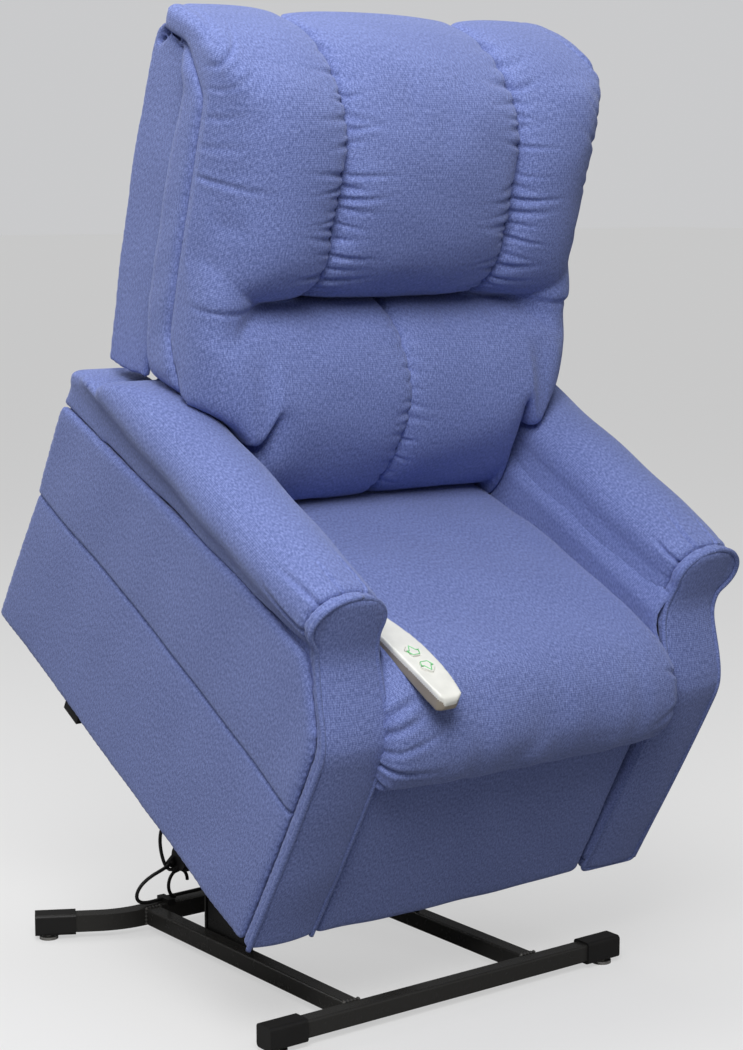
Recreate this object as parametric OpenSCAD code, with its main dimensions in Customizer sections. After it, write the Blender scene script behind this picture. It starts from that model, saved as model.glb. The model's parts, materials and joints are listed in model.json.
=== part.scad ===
// Lift recliner chair on a tilting steel lift base, shown raised.
// Millimetres. X runs across the chair, the chair faces -Y, Z is up from the floor.
// The chair body is drawn level in its own frame (u rearward as Y, v up as Z), then tilted.

/* [Chair body] */
// Forward tilt of the chair body at rest
chair_tilt = 28.13; // [0:0.01:32]
// Height of the chair body's lower front corner above the floor at rest
chair_z = 172.5; // [60:0.5:220]
// Half width over the outer side panels
side_x = 386; // [360:1:410]
// Half width of the opening between the arms
seat_x = 269; // [240:1:290]
// Thickness of the side panels
panel_t = 14; // [8:1:20]
// Half width of the arm roll
roll_rx = 64; // [50:1:80]
// Half height of the arm roll
roll_rz = 48; // [40:1:60]
// Top of the arm roll above the chair's lower edge
arm_top = 586; // [540:1:620]
// Height of the arm front's foremost point
nose_v = 365; // [300:5:400]
// Forward bow of the arm front between its foot and its nose
nose_bow = 12; // [0:1:25]
// How far the arm front slopes back from the nose up to the roll
nose_back = 79; // [40:1:110]
// Thickness of the arm front panel
front_t = 20; // [12:1:30]

/* [Seat] */
// Highest point of the seat cushion above the chair's lower edge
seat_top = 452; // [420:1:480]
// Distance of that point behind the arm fronts' foot
seat_crown_u = 130; // [60:5:250]
// How far the cushion's nose stands forward
seat_nose = 48; // [20:1:70]
// Rear edge of the seat cushion
seat_rear = 575; // [540:1:600]

/* [Back] */
// Rearward lean of the back from the chair's own upright
back_lean = 10.9; // [0:0.1:20]
// Half width of the back above the arms
back_x = 365; // [330:1:380]
// Half width of the middle channel
channel_x = 165; // [140:1:190]
// Upper pads: how far they stand forward
pad_depth = 106; // [60:1:140]
// Upper pads: height of the fullest point in the back's own frame
pad_mid = 180; // [120:5:240]
// Upper pads: top
pad_top = 426; // [390:1:450]
// Upper pads: lower seam
pad_foot = 30; // [0:1:60]
// Lumbar pads: how far they stand forward
lumbar_depth = 142; // [100:1:170]
// Lumbar pads: height of the fullest point
lumbar_mid = -135; // [-180:5:-90]
// Half width of the rear shell
shell_x = 345; // [320:1:360]
// Depth of the rear shell at its fullest point
shell_p = 198; // [170:1:220]
// Radius of the rear shell's slight crown
shell_crown = 2450; // [1500:50:6000]
// Recline pivot, distance back from the chair front
recline_u = 690; // [650:1:720]
// Recline pivot, height above the chair's lower edge
recline_v = 255; // [230:1:280]

/* [Lift base] */
// Side of the square base tube
tube = 29; // [25:0.5:38]
// Underside of the base tube above the floor
tube_z = 12.5; // [8:0.5:20]
// Half distance between the two base rails
rail_x = 178; // [150:1:200]
// Centre of the rear cross tube behind the front tube
rear_y = 602; // [560:1:640]
// Half distance between the front glides
front_glide_x = 327.5; // [300:0.5:350]
// Half distance between the rear glides
rear_glide_x = 341.5; // [300:0.5:360]
// Rear glides behind the front tube
rear_glide_y = 662; // [640:1:700]
// Where the rear tube starts to bend, from its middle
bend_x = 195; // [150:1:230]
// Radius of that bend
bend_r = 150; // [100:5:200]
// Angle of that bend
bend_a = 29.3; // [15:0.1:45]
// Length of the plastic sleeve on each tube end
cap_len = 66; // [30:1:90]
// Wall of that sleeve
cap_wall = 4; // [1.5:0.5:5]

/* [Lift linkage] */
// Main lift arm, base pivot behind the front tube
lift_y = 385; // [350:1:420]
// Main lift arm, base pivot height
lift_z = 268; // [240:1:300]
// Main lift arm, chair pivot u
lift_u = 680; // [650:1:700]
// Main lift arm, chair pivot v
lift_v = 42; // [35:1:60]
// Front link, base pivot behind the front tube
link_y = 331; // [300:1:350]
// Front link, base pivot height
link_z = 253; // [230:1:280]
// Front link, chair pivot u
link_u = 563; // [540:1:590]
// Front link, chair pivot v
link_v = 42; // [35:1:60]
// Actuator hinge behind the front tube
act_y = 625; // [610:1:640]
// Actuator hinge height
act_z = 75; // [65:1:90]
// Crank radius from the lift pivot to the rod pin
crank_r = 70; // [60:1:90]
// Crank angle above the horizontal at rest
crank_a = 99; // [85:1:110]

/* [Footrest] */
// Upper link's chair pivot u
leg_u1 = 81; // [60:1:100]
// Upper link's chair pivot v
leg_v1 = 245; // [220:1:260]
// Pivot between the two links u
leg_u2 = 180; // [150:1:200]
// Pivot between the two links v
leg_v2 = 24; // [20:1:60]
// Lower link's panel pivot u
leg_u3 = 55; // [45:1:80]
// Lower link's panel pivot v
leg_v3 = 150; // [120:1:180]
// Half width of the footrest panel
foot_x = 262; // [240:1:266]
// Height of the footrest panel
foot_h = 287; // [250:1:300]
// Height of the lower edge of the footrest panel above the chair bottom
foot_low = -6; // [-10:1:10]

/* [Handset] */
// Length of the handset
handset_l = 202; // [160:1:220]
// Radius of its bowed long edge
bow_r = 300; // [200:10:500]
// Up key's centre along the handset
key_up_y = 10; // [0:1:30]
// Down key's centre along the handset
key_down_y = -28; // [-50:1:-20]

/* [Hardware] */
// Pivot pin diameter
pin_d = 12; // [8:1:14]
// Running clearance on a pin's diameter
run = 0.1; // [0.05:0.05:0.2]
// Actuator pin diameter
act_pin_d = 10; // [8:1:12]
// Cross tube diameter
cross_d = 25; // [20:1:30]

/* [Hidden] */
$fn = 48;
// puts the origin on the floor under the middle of the whole chair
base_shift = -222.73;
// chair body's lower front corner, behind the front tube
chair_y = -6.2;
// origin of the back's own frame, in the chair's
back_u = 620;
back_v = 700;
tube_top = tube_z + tube;
tube_mid = tube_z + tube / 2;
crank_y = lift_y + crank_r * cos(crank_a);
crank_z = lift_z + crank_r * sin(crank_a);
act_angle = atan2(crank_z - act_z, crank_y - act_y);
act_len = norm([crank_y - act_y, crank_z - act_z]);
lift_b = chair_point(lift_u, lift_v);
link_d = chair_point(link_u, link_v);
leg_p1 = [leg_u1, leg_v1];
leg_p2 = [leg_u2, leg_v2];
leg_p3 = [leg_u3, leg_v3];
// centres of the two cross tubes, front and rear
cross_front = [235, 236];
cross_rear = [700, 140];
// centre of the arm roll
roll_z = arm_top - roll_rz;
roll_x = side_x - 39;
// the arm front's foot, and where its slope meets the roll
foot_u = -5;
roll_v = 500;
// swept ends of the rear tube
bend_y = rear_y + bend_r * (1 - cos(bend_a));
bend_end_x = bend_x + bend_r * sin(bend_a);
bend_run = norm([rear_glide_x - bend_end_x, rear_glide_y - bend_y]);
// front of the back's core: height w, then depth p
core_front = [[-110, -46], [-30, 6], [60, 10], [327, 12], [384, 70]];
core_rear = [[150, 392], [90, 372], [60, 330], [70, 215], [69, 14], [46, -110]];
// height where the rear shell is fullest
shell_mid_w = 140;

// world y and z of a chair point
function chair_point(u, v) = [
  chair_y + u * cos(chair_tilt) - v * sin(chair_tilt),
  chair_z + u * sin(chair_tilt) + v * cos(chair_tilt)
];
// quarter or part of a rounded bulge about a centre; e is 2 for an ellipse, more for a squarer one
function bulge(c, rx, rz, a0, a1, e = 2, n = 8) = [
  for (i = [0 : n])
    let (a = a0 + (a1 - a0) * i / n)
    [
      c[0] + rx * sign(cos(a)) * pow(abs(cos(a)), 2 / e),
      c[1] + rz * sign(sin(a)) * pow(abs(sin(a)), 2 / e)
    ]
];
// arc points about a centre
function arc(cx, cz, rx, rz, a0, a1, n = 12) = bulge([cx, cz], rx, rz, a0, a1, 2, n);
// smooth step from 0 to 1
function ease(t) = t < 0 ? 0 : t > 1 ? 1 : t * t * (3 - 2 * t);
// rounded rectangle outline from a centre, size and corner radius
function rounded(cx, cz, w, h, r, n = 5) = concat(
  arc(cx + w / 2 - r, cz + h / 2 - r, r, r, 0, 90, n),
  arc(cx - w / 2 + r, cz + h / 2 - r, r, r, 90, 180, n),
  arc(cx - w / 2 + r, cz - h / 2 + r, r, r, 180, 270, n),
  arc(cx + w / 2 - r, cz - h / 2 + r, r, r, 270, 360, n)
);
// points with the first value mirrored
function flip(p, s) = [for (q = p) [q[0] * s, q[1]]];
// seam between the side panel and the arm pad
function seam_v(u) = 492 - (u - 60) * 0.082;
// forward face of the arm fronts at a height
function arm_front_u(v) =
  v < nose_v
    ? foot_u - nose_bow * sin(90 * v / nose_v)
    : foot_u - nose_bow + nose_back * ease((v - nose_v) / (roll_v - nose_v));
// that face as a line, set back by a distance
function arm_front_line(back) = [
  for (v = [0 : 45 : 360]) [arm_front_u(v) + back, v],
  for (v = [380 : 20 : 500]) [arm_front_u(v) + back, v],
  [arm_front_u(590) + back, 590]
];
// points in the other order
function turned(p) = [for (i = [len(p) - 1 : -1 : 0]) p[i]];

module on_chair() {
  translate([0, chair_y, chair_z]) rotate([chair_tilt, 0, 0]) children();
}
module on_back() {
  on_chair() translate([0, back_u, back_v]) rotate([-back_lean, 0, 0]) children();
}
// side profile (y, z) stretched from x0 to x1
module across(x0, x1) {
  translate([x0, 0, 0]) rotate([90, 0, 90]) linear_extrude(height = x1 - x0) children();
}
// front profile (x, z) stretched from y0 to y1
module along(y0, y1) {
  translate([0, y1, 0]) rotate([90, 0, 0]) linear_extrude(height = y1 - y0) children();
}
// the same side profile on both sides, between two half widths
module both(x0, x1) {
  across(x0, x1) children();
  across(-x1, -x0) children();
}
// straight link with round ends and two pin holes, as a side profile
module link_shape(a, b, r, hole_a, hole_b) {
  ang = atan2(b[1] - a[1], b[0] - a[0]);
  difference() {
    union() {
      translate(a) circle(r = r);
      translate(b) circle(r = r);
      translate(a) rotate(ang) translate([0, 1.5 - r]) square([norm(b - a), 2 * r - 3]);
    }
    translate(a) circle(d = hole_a);
    translate(b) circle(d = hole_b);
  }
}
// round bar along X at (y, z)
module bar(x0, x1, p, d) {
  translate([x0, p[0], p[1]]) rotate([0, 90, 0]) cylinder(d = d, h = x1 - x0);
}
module pipe(x0, x1, p, d, bore) {
  difference() {
    bar(x0, x1, p, d);
    bar(x0 - 1, x1 + 1, p, bore);
  }
}
// a headed pin on each side, between two half widths
module pin_pair(x0, x1, p, head0 = 2, head1 = 2) {
  for (s = [-1, 1]) {
    bar(min(s * x0, s * x1), max(s * x0, s * x1), p, pin_d);
    if (head0 > 0) bar(min(s * x0, s * (x0 - head0)), max(s * x0, s * (x0 - head0)), p, pin_d + 7);
    if (head1 > 0) bar(min(s * x1, s * (x1 + head1)), max(s * x1, s * (x1 + head1)), p, pin_d + 7);
  }
}

// the whole chair, moved so that the origin is under its middle
module placed() {
  translate([0, base_shift, 0]) children();
}

// ---- base ----
module base_front_tube() {
  color([0.05, 0.05, 0.06]) across(-front_glide_x - 21, front_glide_x + 21) difference() {
    polygon(rounded(0, tube_mid, tube, tube, 4));
    polygon(rounded(0, tube_mid, tube - 4, tube - 4, 2));
  }
}
module base_rails() {
  color([0.05, 0.05, 0.06]) for (s = [-1, 1])
    along(tube / 2, rear_y - tube / 2) difference() {
      polygon(rounded(s * rail_x, tube_mid, tube, tube, 4));
      polygon(rounded(s * rail_x, tube_mid, tube - 4, tube - 4, 2));
    }
}
// plan view of one swept end of the rear tube, from the bend to the glide
module swept_end(wide) {
  middle = rear_y + bend_r;
  outer = arc(bend_x, middle, bend_r + wide / 2, bend_r + wide / 2, -90, -90 + bend_a, 10);
  inner = arc(bend_x, middle, bend_r - wide / 2, bend_r - wide / 2, -90 + bend_a, -90, 10);
  polygon(concat(outer, inner));
  translate([bend_end_x, bend_y]) rotate(bend_a)
    translate([-1, -wide / 2]) square([bend_run + 21, wide]);
}
module rear_tube_plan(wide) {
  translate([-bend_x - 1, rear_y - wide / 2]) square([2 * bend_x + 2, wide]);
  swept_end(wide);
  mirror([1, 0]) swept_end(wide);
}
module base_rear_tube() {
  color([0.05, 0.05, 0.06]) translate([0, 0, tube_z]) difference() {
    linear_extrude(height = tube) rear_tube_plan(tube);
    translate([0, 0, 2]) linear_extrude(height = tube - 4) rear_tube_plan(tube - 4);
  }
}
// plastic sleeve that closes a tube end; the end faces +X at the origin
module end_cap() {
  difference() {
    across(-cap_len, 3) polygon(rounded(0, tube_mid, tube + 2 * cap_wall, tube + 2 * cap_wall, 6));
    across(-cap_len - 1, 0) square_hole();
  }
}
module square_hole() {
  translate([-tube / 2 - 0.05, tube_z - 0.05]) square([tube + 0.1, tube + 0.1]);
}
module base_end_caps() {
  color([0.12, 0.12, 0.13]) {
    for (s = [-1, 1]) {
      rotate([0, 0, s > 0 ? 0 : 180]) translate([front_glide_x + 21, 0, 0]) end_cap();
      translate([s * bend_end_x, bend_y, 0])
        rotate([0, 0, s > 0 ? bend_a : 180 - bend_a])
          translate([bend_run + 20, 0, 0]) end_cap();
    }
  }
}
module base_glides() {
  color([0.7, 0.7, 0.7]) for (s = [-1, 1])
    for (p = [[s * front_glide_x, 0], [s * rear_glide_x, rear_glide_y]]) translate(p) {
      cylinder(d = 32, h = 5);
      translate([0, 0, 5]) cylinder(d = 14, h = tube_z - cap_wall - 5);
    }
}
module lift_brackets() {
  spine = [[link_y, link_z + 17], [link_y, link_z - 17], [lift_y, lift_z - 17], [lift_y, lift_z + 20]];
  color([0.06, 0.06, 0.07]) {
    both(rail_x - 10, rail_x - 4) difference() {
      union() {
        polygon([
          [296, tube_top], [426, tube_top], [426, tube_top + 165],
          [lift_y + 19, lift_z], [link_y - 15, link_z]
        ]);
        translate([lift_y, lift_z]) circle(r = 24);
        translate([link_y, link_z]) circle(r = 20);
        polygon(spine);
      }
      translate([lift_y, lift_z]) circle(d = pin_d);
      translate([link_y, link_z]) circle(d = pin_d);
    }
    both(rail_x - 4, rail_x - 1) translate([296, tube_top]) square([130, 5]);
    for (s = [-1, 1]) translate([s * (rail_x - 7) - 5, 423, tube_top]) cube([10, 5, 160]);
  }
}
module base_pivot_pins() {
  color([0.6, 0.6, 0.62]) {
    pin_pair(154.9, rail_x - 4, [lift_y, lift_z], 2, 2);
    pin_pair(rail_x - 10, 184.1, [link_y, link_z], 2, 2);
  }
}
module actuator_mount() {
  color([0.06, 0.06, 0.07]) both(20, 25) difference() {
    union() {
      polygon([
        [rear_y - 12, tube_top], [rear_y + 14, tube_top],
        [act_y + 14, act_z - 5], [act_y - 12, act_z + 8]
      ]);
      translate([act_y, act_z]) circle(r = 15);
    }
    translate([act_y, act_z]) circle(d = act_pin_d + run);
  }
}
module cable_loop() {
  // cable hanging in a loop beside the motor, tied to the rear tube
  color([0.04, 0.04, 0.04]) translate([-118, rear_y, 70]) rotate([90, 0, 15]) {
    rotate_extrude(angle = 250, $fn = 40) translate([24, 0]) circle(d = 6, $fn = 16);
  }
  color([0.04, 0.04, 0.04]) translate([-150, rear_y - 18, tube_top + 0.1]) cube([14, 36, 8]);
}

// ---- lift arms ----
module lift_arm(s) {
  x0 = s > 0 ? 156 : -164;
  color([0.06, 0.06, 0.07]) across(x0, x0 + 8) difference() {
    union() {
      link_shape([lift_y, lift_z], lift_b, 16, pin_d + run, pin_d + run);
      translate([lift_y, lift_z]) circle(r = 20);
      translate([lift_y + 30 * cos(crank_a), lift_z + 30 * sin(crank_a)]) circle(r = 15);
      translate([lift_y, lift_z]) rotate(crank_a) translate([0, -13]) square([30, 26]);
    }
    translate([lift_y, lift_z]) circle(d = pin_d + run);
    translate(lift_b) circle(d = pin_d + run);
  }
}
module lift_arm_left() { lift_arm(-1); }
module lift_arm_right() { lift_arm(1); }
module lift_torque_tube() {
  g = [lift_y + 30 * cos(crank_a), lift_z + 30 * sin(crank_a)];
  color([0.06, 0.06, 0.07]) {
    difference() {
      union() {
        bar(-156, 156, g, 20);
        both(15, 20) {
          translate([crank_y, crank_z]) circle(r = 12);
          translate(g) circle(r = 15);
          translate(g) rotate(crank_a) translate([0, -12]) square([crank_r - 30, 24]);
        }
      }
      bar(-157, 157, g, 14);
    }
  }
}
module lift_arm_pins() {
  // short studs that stand inward from the two crank ears
  color([0.6, 0.6, 0.62]) for (s = [-1, 1])
    bar(min(s * 12.5, s * 15), max(s * 12.5, s * 15), [crank_y, crank_z], act_pin_d);
}
module front_link(s) {
  x0 = s > 0 ? 178 : -184;
  color([0.06, 0.06, 0.07]) across(x0, x0 + 6)
    link_shape([link_y, link_z], link_d, 12, pin_d + run, pin_d + 2);
}
module front_link_left() { front_link(-1); }
module front_link_right() { front_link(1); }

// ---- actuator, drawn along +X from its hinge and turned into place ----
module on_actuator() {
  translate([0, act_y, act_z]) rotate([act_angle, 0, 0]) rotate([0, 0, 90]) children();
}
module actuator_housing() {
  color([0.07, 0.07, 0.08]) on_actuator() difference() {
    union() {
      rotate([90, 0, 0]) translate([0, 0, -18]) cylinder(r = 14, h = 36);
      translate([0, -18, -14]) cube([40, 36, 28]);
      translate([34, -27, -30]) cube([64, 54, 60]);
    }
    rotate([90, 0, 0]) translate([0, 0, -30]) cylinder(d = act_pin_d + run, h = 60);
    translate([70, 0, 0]) rotate([0, 90, 0]) cylinder(d = 30, h = 40);
  }
  color([0.6, 0.6, 0.62]) bar(-27, 27, [act_y, act_z], act_pin_d);
}
module actuator_tube() {
  color([0.07, 0.07, 0.08]) on_actuator() translate([98, 0, 0]) rotate([0, 90, 0]) difference() {
    cylinder(d = 40, h = 142);
    translate([0, 0, -1]) cylinder(d = 30, h = 138);
    translate([0, 0, 130]) cylinder(d = 22 + 2 * run, h = 20);
  }
}
module actuator_motor() {
  color([0.07, 0.07, 0.08]) on_actuator() translate([66, 27, 0]) rotate([-90, 0, 0]) {
    cylinder(d = 52, h = 96);
    translate([0, 0, 96]) cylinder(d = 44, h = 8);
  }
}
module actuator_rod() {
  color([0.75, 0.75, 0.77]) on_actuator() {
    translate([186, 0, 0]) rotate([0, 90, 0]) cylinder(d = 22, h = act_len - 186 - 8);
    difference() {
      union() {
        rotate([90, 0, 0]) translate([act_len, 0, -10]) cylinder(r = 11, h = 20);
        translate([act_len - 18, -10, -10]) cube([18, 20, 20]);
      }
      rotate([90, 0, 0]) translate([act_len, 0, -12]) cylinder(d = act_pin_d + run, h = 24);
    }
  }
}

// ---- chair body ----
module mechanism_plates() {
  color([0.1, 0.1, 0.11]) on_chair() {
    both(250, 254) difference() {
      union() {
        polygon([
          [50, 215], [110, 180], [640, 110], [720, 110],
          [720, 250], [recline_u + 18, 262], [60, 262]
        ]);
        translate([recline_u, recline_v]) circle(r = 22);
        translate(leg_p1) circle(r = 17);
      }
      translate(leg_p1) circle(d = pin_d);
      translate([recline_u, recline_v]) circle(d = pin_d);
      translate(cross_rear) circle(d = cross_d);
      translate(cross_front) circle(d = cross_d);
    }
    // mounting rails that bolt the plates to the arm frames
    both(254, seat_x) translate([110, 196]) square([500, 24]);
  }
}
module mechanism_cross_tubes() {
  color([0.06, 0.06, 0.07]) on_chair() for (p = [cross_front, cross_rear])
    pipe(-254, 254, p, cross_d, cross_d - 5);
}
module lift_plates() {
  color([0.06, 0.06, 0.07]) on_chair() {
    both(146, 152) difference() {
      union() {
        polygon([
          [lift_u - 16, lift_v], [lift_u + 16, lift_v], [720, 140],
          [722, 164], [672, 164], [680, 140]
        ]);
        translate([lift_u, lift_v]) circle(r = 18);
        translate(cross_rear) circle(r = 22);
      }
      translate([lift_u, lift_v]) circle(d = pin_d);
      translate(cross_rear) circle(d = cross_d);
    }
    both(188, 194) difference() {
      union() {
        polygon([
          [link_u - 6, link_v - 13], [link_u + 20, link_v - 12], [719, 130], [700, 160],
          [640, 250], [600, 250], [link_u - 14, link_v + 6]
        ]);
        translate([link_u, link_v]) circle(r = 17);
        translate(cross_rear) circle(r = 22);
      }
      translate([link_u, link_v]) circle(d = pin_d);
      translate(cross_rear) circle(d = cross_d);
    }
  }
}
module chair_pivot_pins() {
  color([0.6, 0.6, 0.62]) on_chair() {
    pin_pair(146, 164.1, [lift_u, lift_v], 2, 2);
    pin_pair(177.9, 194, [link_u, link_v], 2, 2);
    pin_pair(223.9, 254, leg_p1, 2, 2);
    pin_pair(250, 262.1, [recline_u, recline_v], 2, 2);
  }
}
module arm_frame(s) {
  board = 12;
  inner_x = s > 0 ? seat_x : -seat_x - board;
  web_x = s > 0 ? seat_x + board : -side_x + panel_t;
  web_w = side_x - panel_t - seat_x - board;
  color([0.72, 0.6, 0.42]) on_chair() {
    // inner board
    across(inner_x, inner_x + board) polygon([
      [22, 20], [786, 20], [786, 405], [700, seam_v(700) - 1],
      [88, seam_v(88) - 20], [45, 400], [22, 350]
    ]);
    // front post, rear post, top rail and bottom rail between the boards
    across(web_x, web_x + web_w) {
      polygon([[22, 20], [56, 20], [56, 400], [45, 400], [22, 355]]);
      translate([730, 20]) square([40, 380]);
      polygon([
        [88, seam_v(88) - 45], [730, seam_v(730) - 45],
        [730, seam_v(730) - 2], [88, seam_v(88) - 24]
      ]);
      translate([56, 20]) square([674, 30]);
    }
  }
}
module arm_frame_left() { arm_frame(-1); }
module arm_frame_right() { arm_frame(1); }
module side_panel(s) {
  gap = front_t + 1;
  front = [for (v = [0 : 23 : 460]) [arm_front_u(v) + gap, v]];
  inner_x = s > 0 ? side_x - panel_t : -side_x;
  color([0.42, 0.5, 0.66]) on_chair() across(inner_x, inner_x + panel_t)
    polygon(concat(front, [[84, seam_v(84) - 12], [250, seam_v(250)], [799, seam_v(799)], [826, 0]]));
}
module side_panel_left() { side_panel(-1); }
module side_panel_right() { side_panel(1); }
// front view of the arm: straight sides below, a roll on top
function arm_outline(s) = flip(concat(
  [[seat_x, 0], [side_x, 0], [side_x, 430], [side_x - 2, 470]],
  arc(roll_x, roll_z, roll_rx, roll_rz, -48, 198, 24),
  [[seat_x + 11, 492], [seat_x + 5, 460], [seat_x + 2, 425], [seat_x, 390]]
), s);
module arm_front(s) {
  color([0.44, 0.52, 0.68]) on_chair() intersection() {
    along(-30, 90) polygon(arm_outline(s));
    across(s > 0 ? 260 : -420, s > 0 ? 420 : -260)
      polygon(concat(arm_front_line(0), turned(arm_front_line(front_t))));
  }
}
module arm_front_left() { arm_front(-1); }
module arm_front_right() { arm_front(1); }
// front view of the arm roll with the flat underside that sits on the frame
function roll_outline(s) = flip(concat(
  [[seat_x + 1, 420], [side_x, 420], [side_x - 2, 470]],
  arc(roll_x, roll_z, roll_rx, roll_rz, -48, 198, 24),
  [[seat_x + 11, 492], [seat_x + 5, 460]]
), s);
module arm_pad(s) {
  // the rear end is hollowed about the recline pivot, so that the back can swing past it
  clear_r = 262;
  color([0.42, 0.5, 0.66]) on_chair() intersection() {
    along(60, 812) polygon(roll_outline(s));
    across(s > 0 ? 260 : -420, s > 0 ? 420 : -260) polygon(concat(
      [[84, seam_v(84) + 1], [805, seam_v(805) + 1], [800, 470]],
      arc(recline_u, recline_v, clear_r, clear_r, 65, 86, 6),
      bulge([480, 520], 210, arm_top - 520, 0, 90, 2, 8),
      [for (v = [arm_top + 1, 505, 498, seam_v(84) + 4]) [arm_front_u(v) + front_t + 1, v]]
    ));
  }
}
module arm_pad_left() { arm_pad(-1); }
module arm_pad_right() { arm_pad(1); }
module seat_frame() {
  color([0.72, 0.6, 0.42]) on_chair() difference() {
    translate([-262, 40, 263]) cube([524, 588, 37]);
    translate([-222, 76, 262]) cube([444, 514, 39]);
  }
}
module seat_springs() {
  pitch = 57;
  color([0.3, 0.3, 0.32]) on_chair() for (x = [-176, -88, 0, 88, 176]) {
    for (i = [0 : 8]) translate([x, 76 + pitch / 2 + i * pitch, 302]) {
      rotate([0, 0, i % 2 == 0 ? -90 : 90]) rotate_extrude(angle = 180, $fn = 24)
        translate([pitch / 2, 0]) circle(d = 3.6, $fn = 14);
    }
    for (y = [58, 589]) translate([x, y, 302]) rotate([-90, 0, 0]) cylinder(d = 3.6, h = 18, $fn = 14);
  }
}
// crowned top of the seat cushion
function seat_line(u) = seat_top - pow(u - seat_crown_u, 2) / 3500;
module seat_cushion() {
  color([0.44, 0.52, 0.68]) on_chair() across(-266, 266) polygon(concat(
    [[560, 306], [40, 306], [36, 297], [0, 294]],
    bulge([-4, 350], seat_nose - 4, 56, 270, 180, 2.2, 5),
    bulge([62, 350], seat_nose + 62, seat_line(62) - 350, 180, 90, 2.1, 8),
    [for (u = [100 : 64 : 548]) [u, seat_line(u)]],
    bulge([548, 354], seat_rear - 548, seat_line(548) - 354, 90, 0, 2, 5)
  ));
}
// short feet under the rear of the side panels
module side_feet() {
  color([0.05, 0.05, 0.06]) on_chair() for (s = [-1, 1])
    translate([s * 371 - 11, 546, -18]) cube([22, 44, 18]);
}
module rear_panel() {
  color([0.4, 0.48, 0.64]) on_chair() difference() {
    along(787, 799) translate([-side_x + panel_t, 10]) square([2 * (side_x - panel_t), 415]);
    translate([-60, 780, 40]) cube([120, 40, 26]);
  }
}

// ---- handset, drawn level with its length along Y ----
module on_handset() {
  on_chair() translate([-216, 48, 463.5]) rotate([-2, 0, 1]) children();
}
// plan view: one straight edge, one bowed edge
handset_half = handset_l / 2;
function handset_plan() = concat(
  arc(29 - bow_r, 0, bow_r, bow_r, -18, 18, 8),
  [[4, handset_half - 1], [-18, handset_half], [-25, handset_half - 9]],
  [[-25, 9 - handset_half], [-18, -handset_half], [4, 1 - handset_half]]
);
// side view: level on top, thicker towards the near end
function handset_side() = concat(
  bulge([handset_half - 9, 7], 11, 8, -90, 90, 2, 6),
  bulge([9 - handset_half, 2], 10, 13, 90, 270, 2, 6)
);
// arrow key outline, pointing along +Y
function key_plan(grow) = [
  [-7 - grow, -12 - grow], [7 + grow, -12 - grow], [7 + grow, 1 - grow], [13 + grow * 2, 1 - grow],
  [0, 14 + grow * 1.5], [-13 - grow * 2, 1 - grow], [-7 - grow, 1 - grow]
];
module handset_body() {
  color([0.93, 0.92, 0.87]) on_handset() difference() {
    intersection() {
      translate([0, 0, -13]) linear_extrude(height = 40) polygon(handset_plan());
      across(-40, 40) polygon(handset_side());
    }
    key_place(key_up_y, 0, 8) linear_extrude(height = 30) polygon(key_plan(0.3));
    key_place(key_down_y, 180, 8) linear_extrude(height = 30) polygon(key_plan(0.3));
  }
}
// a place on the handset's top, turned so that the arrow points the right way
module key_place(y, turn, z) {
  translate([0, y, z]) rotate(turn) children();
}
module key(y, turn) {
  color([0.95, 0.95, 0.93]) on_handset() key_place(y, turn, 9.4)
    linear_extrude(height = 7.4) polygon(key_plan(0));
}
module button_up() { key(key_up_y, 0); }
module button_down() { key(key_down_y, 180); }

// ---- back, in its own leaning frame ----
// front of the core between two heights, from the top down, with a hair of clearance
function behind(w0, w1) = concat(
  [[lookup(w1, core_front) - 0.6, w1 + 0.4]],
  [
    for (q = turned(core_front))
      if (q[0] > w0 && q[0] < w1) [q[1] - 0.6, q[0] + 0.4]
  ],
  [[lookup(w0, core_front) - 0.6, w0 + 0.4]]
);
module back_core() {
  color([0.4, 0.48, 0.64]) on_back() {
    intersection() {
      across(-back_x, back_x) polygon(concat([for (q = core_front) [q[1], q[0]]], core_rear));
      along(-300, 300) polygon(rounded(0, 140, 2 * back_x, 500, 40));
    }
    across(-262, 262) polygon([[-46, -110], [-46, -290], [30, -290], [46, -110]]);
  }
}
// angle of the crowned rear skin at a height
function crown_a(w) = asin((w - shell_mid_w) / shell_crown);
// the crowned rear line, set in from the outside, between two heights
function crown_line(inset, w0, w1) =
  let (r = shell_crown - inset)
  arc(shell_p - shell_crown, shell_mid_w, r, r, crown_a(w0), crown_a(w1), 8);
// the top corner of the rear skin, set in from the outside
function crown_corner(inset, a0, a1) = arc(146, 360, 42 - inset, 46 - inset, a0, a1, 6);
module back_shell() {
  color([0.38, 0.46, 0.62]) on_back() {
    // rear skin
    across(-shell_x, shell_x) polygon(concat(
      crown_line(0, -140, 352), crown_corner(0, 8, 90),
      crown_corner(12, 90, 8), crown_line(12, 352, -140)
    ));
    // side skins
    both(shell_x - 12, shell_x) polygon(concat(
      [[72, -126], [140, -138]], crown_line(6, -138, 350),
      [[146, 386], [104, 372], [88, 362], [73, 330], [73, 10]]
    ));
  }
}
module back_frame() {
  color([0.72, 0.6, 0.42]) on_back() {
    both(222, 256.8) polygon([
      [34, -390], [66, -390], [106, -110], [108, 350],
      [77, 350], [75, -60], [34, -280]
    ]);
    for (w = [-250, 30, 320]) along(w < 0 ? 36 : 76, w < 0 ? 58 : 98) translate([-222, w]) square([444, 26]);
  }
}
module back_brackets() {
  color([0.1, 0.1, 0.11]) on_chair() both(257, 262) difference() {
    union() {
      translate([recline_u, recline_v]) circle(r = 18);
      polygon([[recline_u - 16, recline_v - 5], [recline_u + 16, recline_v + 5], [640, 430], [606, 425]]);
    }
    translate([recline_u, recline_v]) circle(d = pin_d + run);
  }
}
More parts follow.
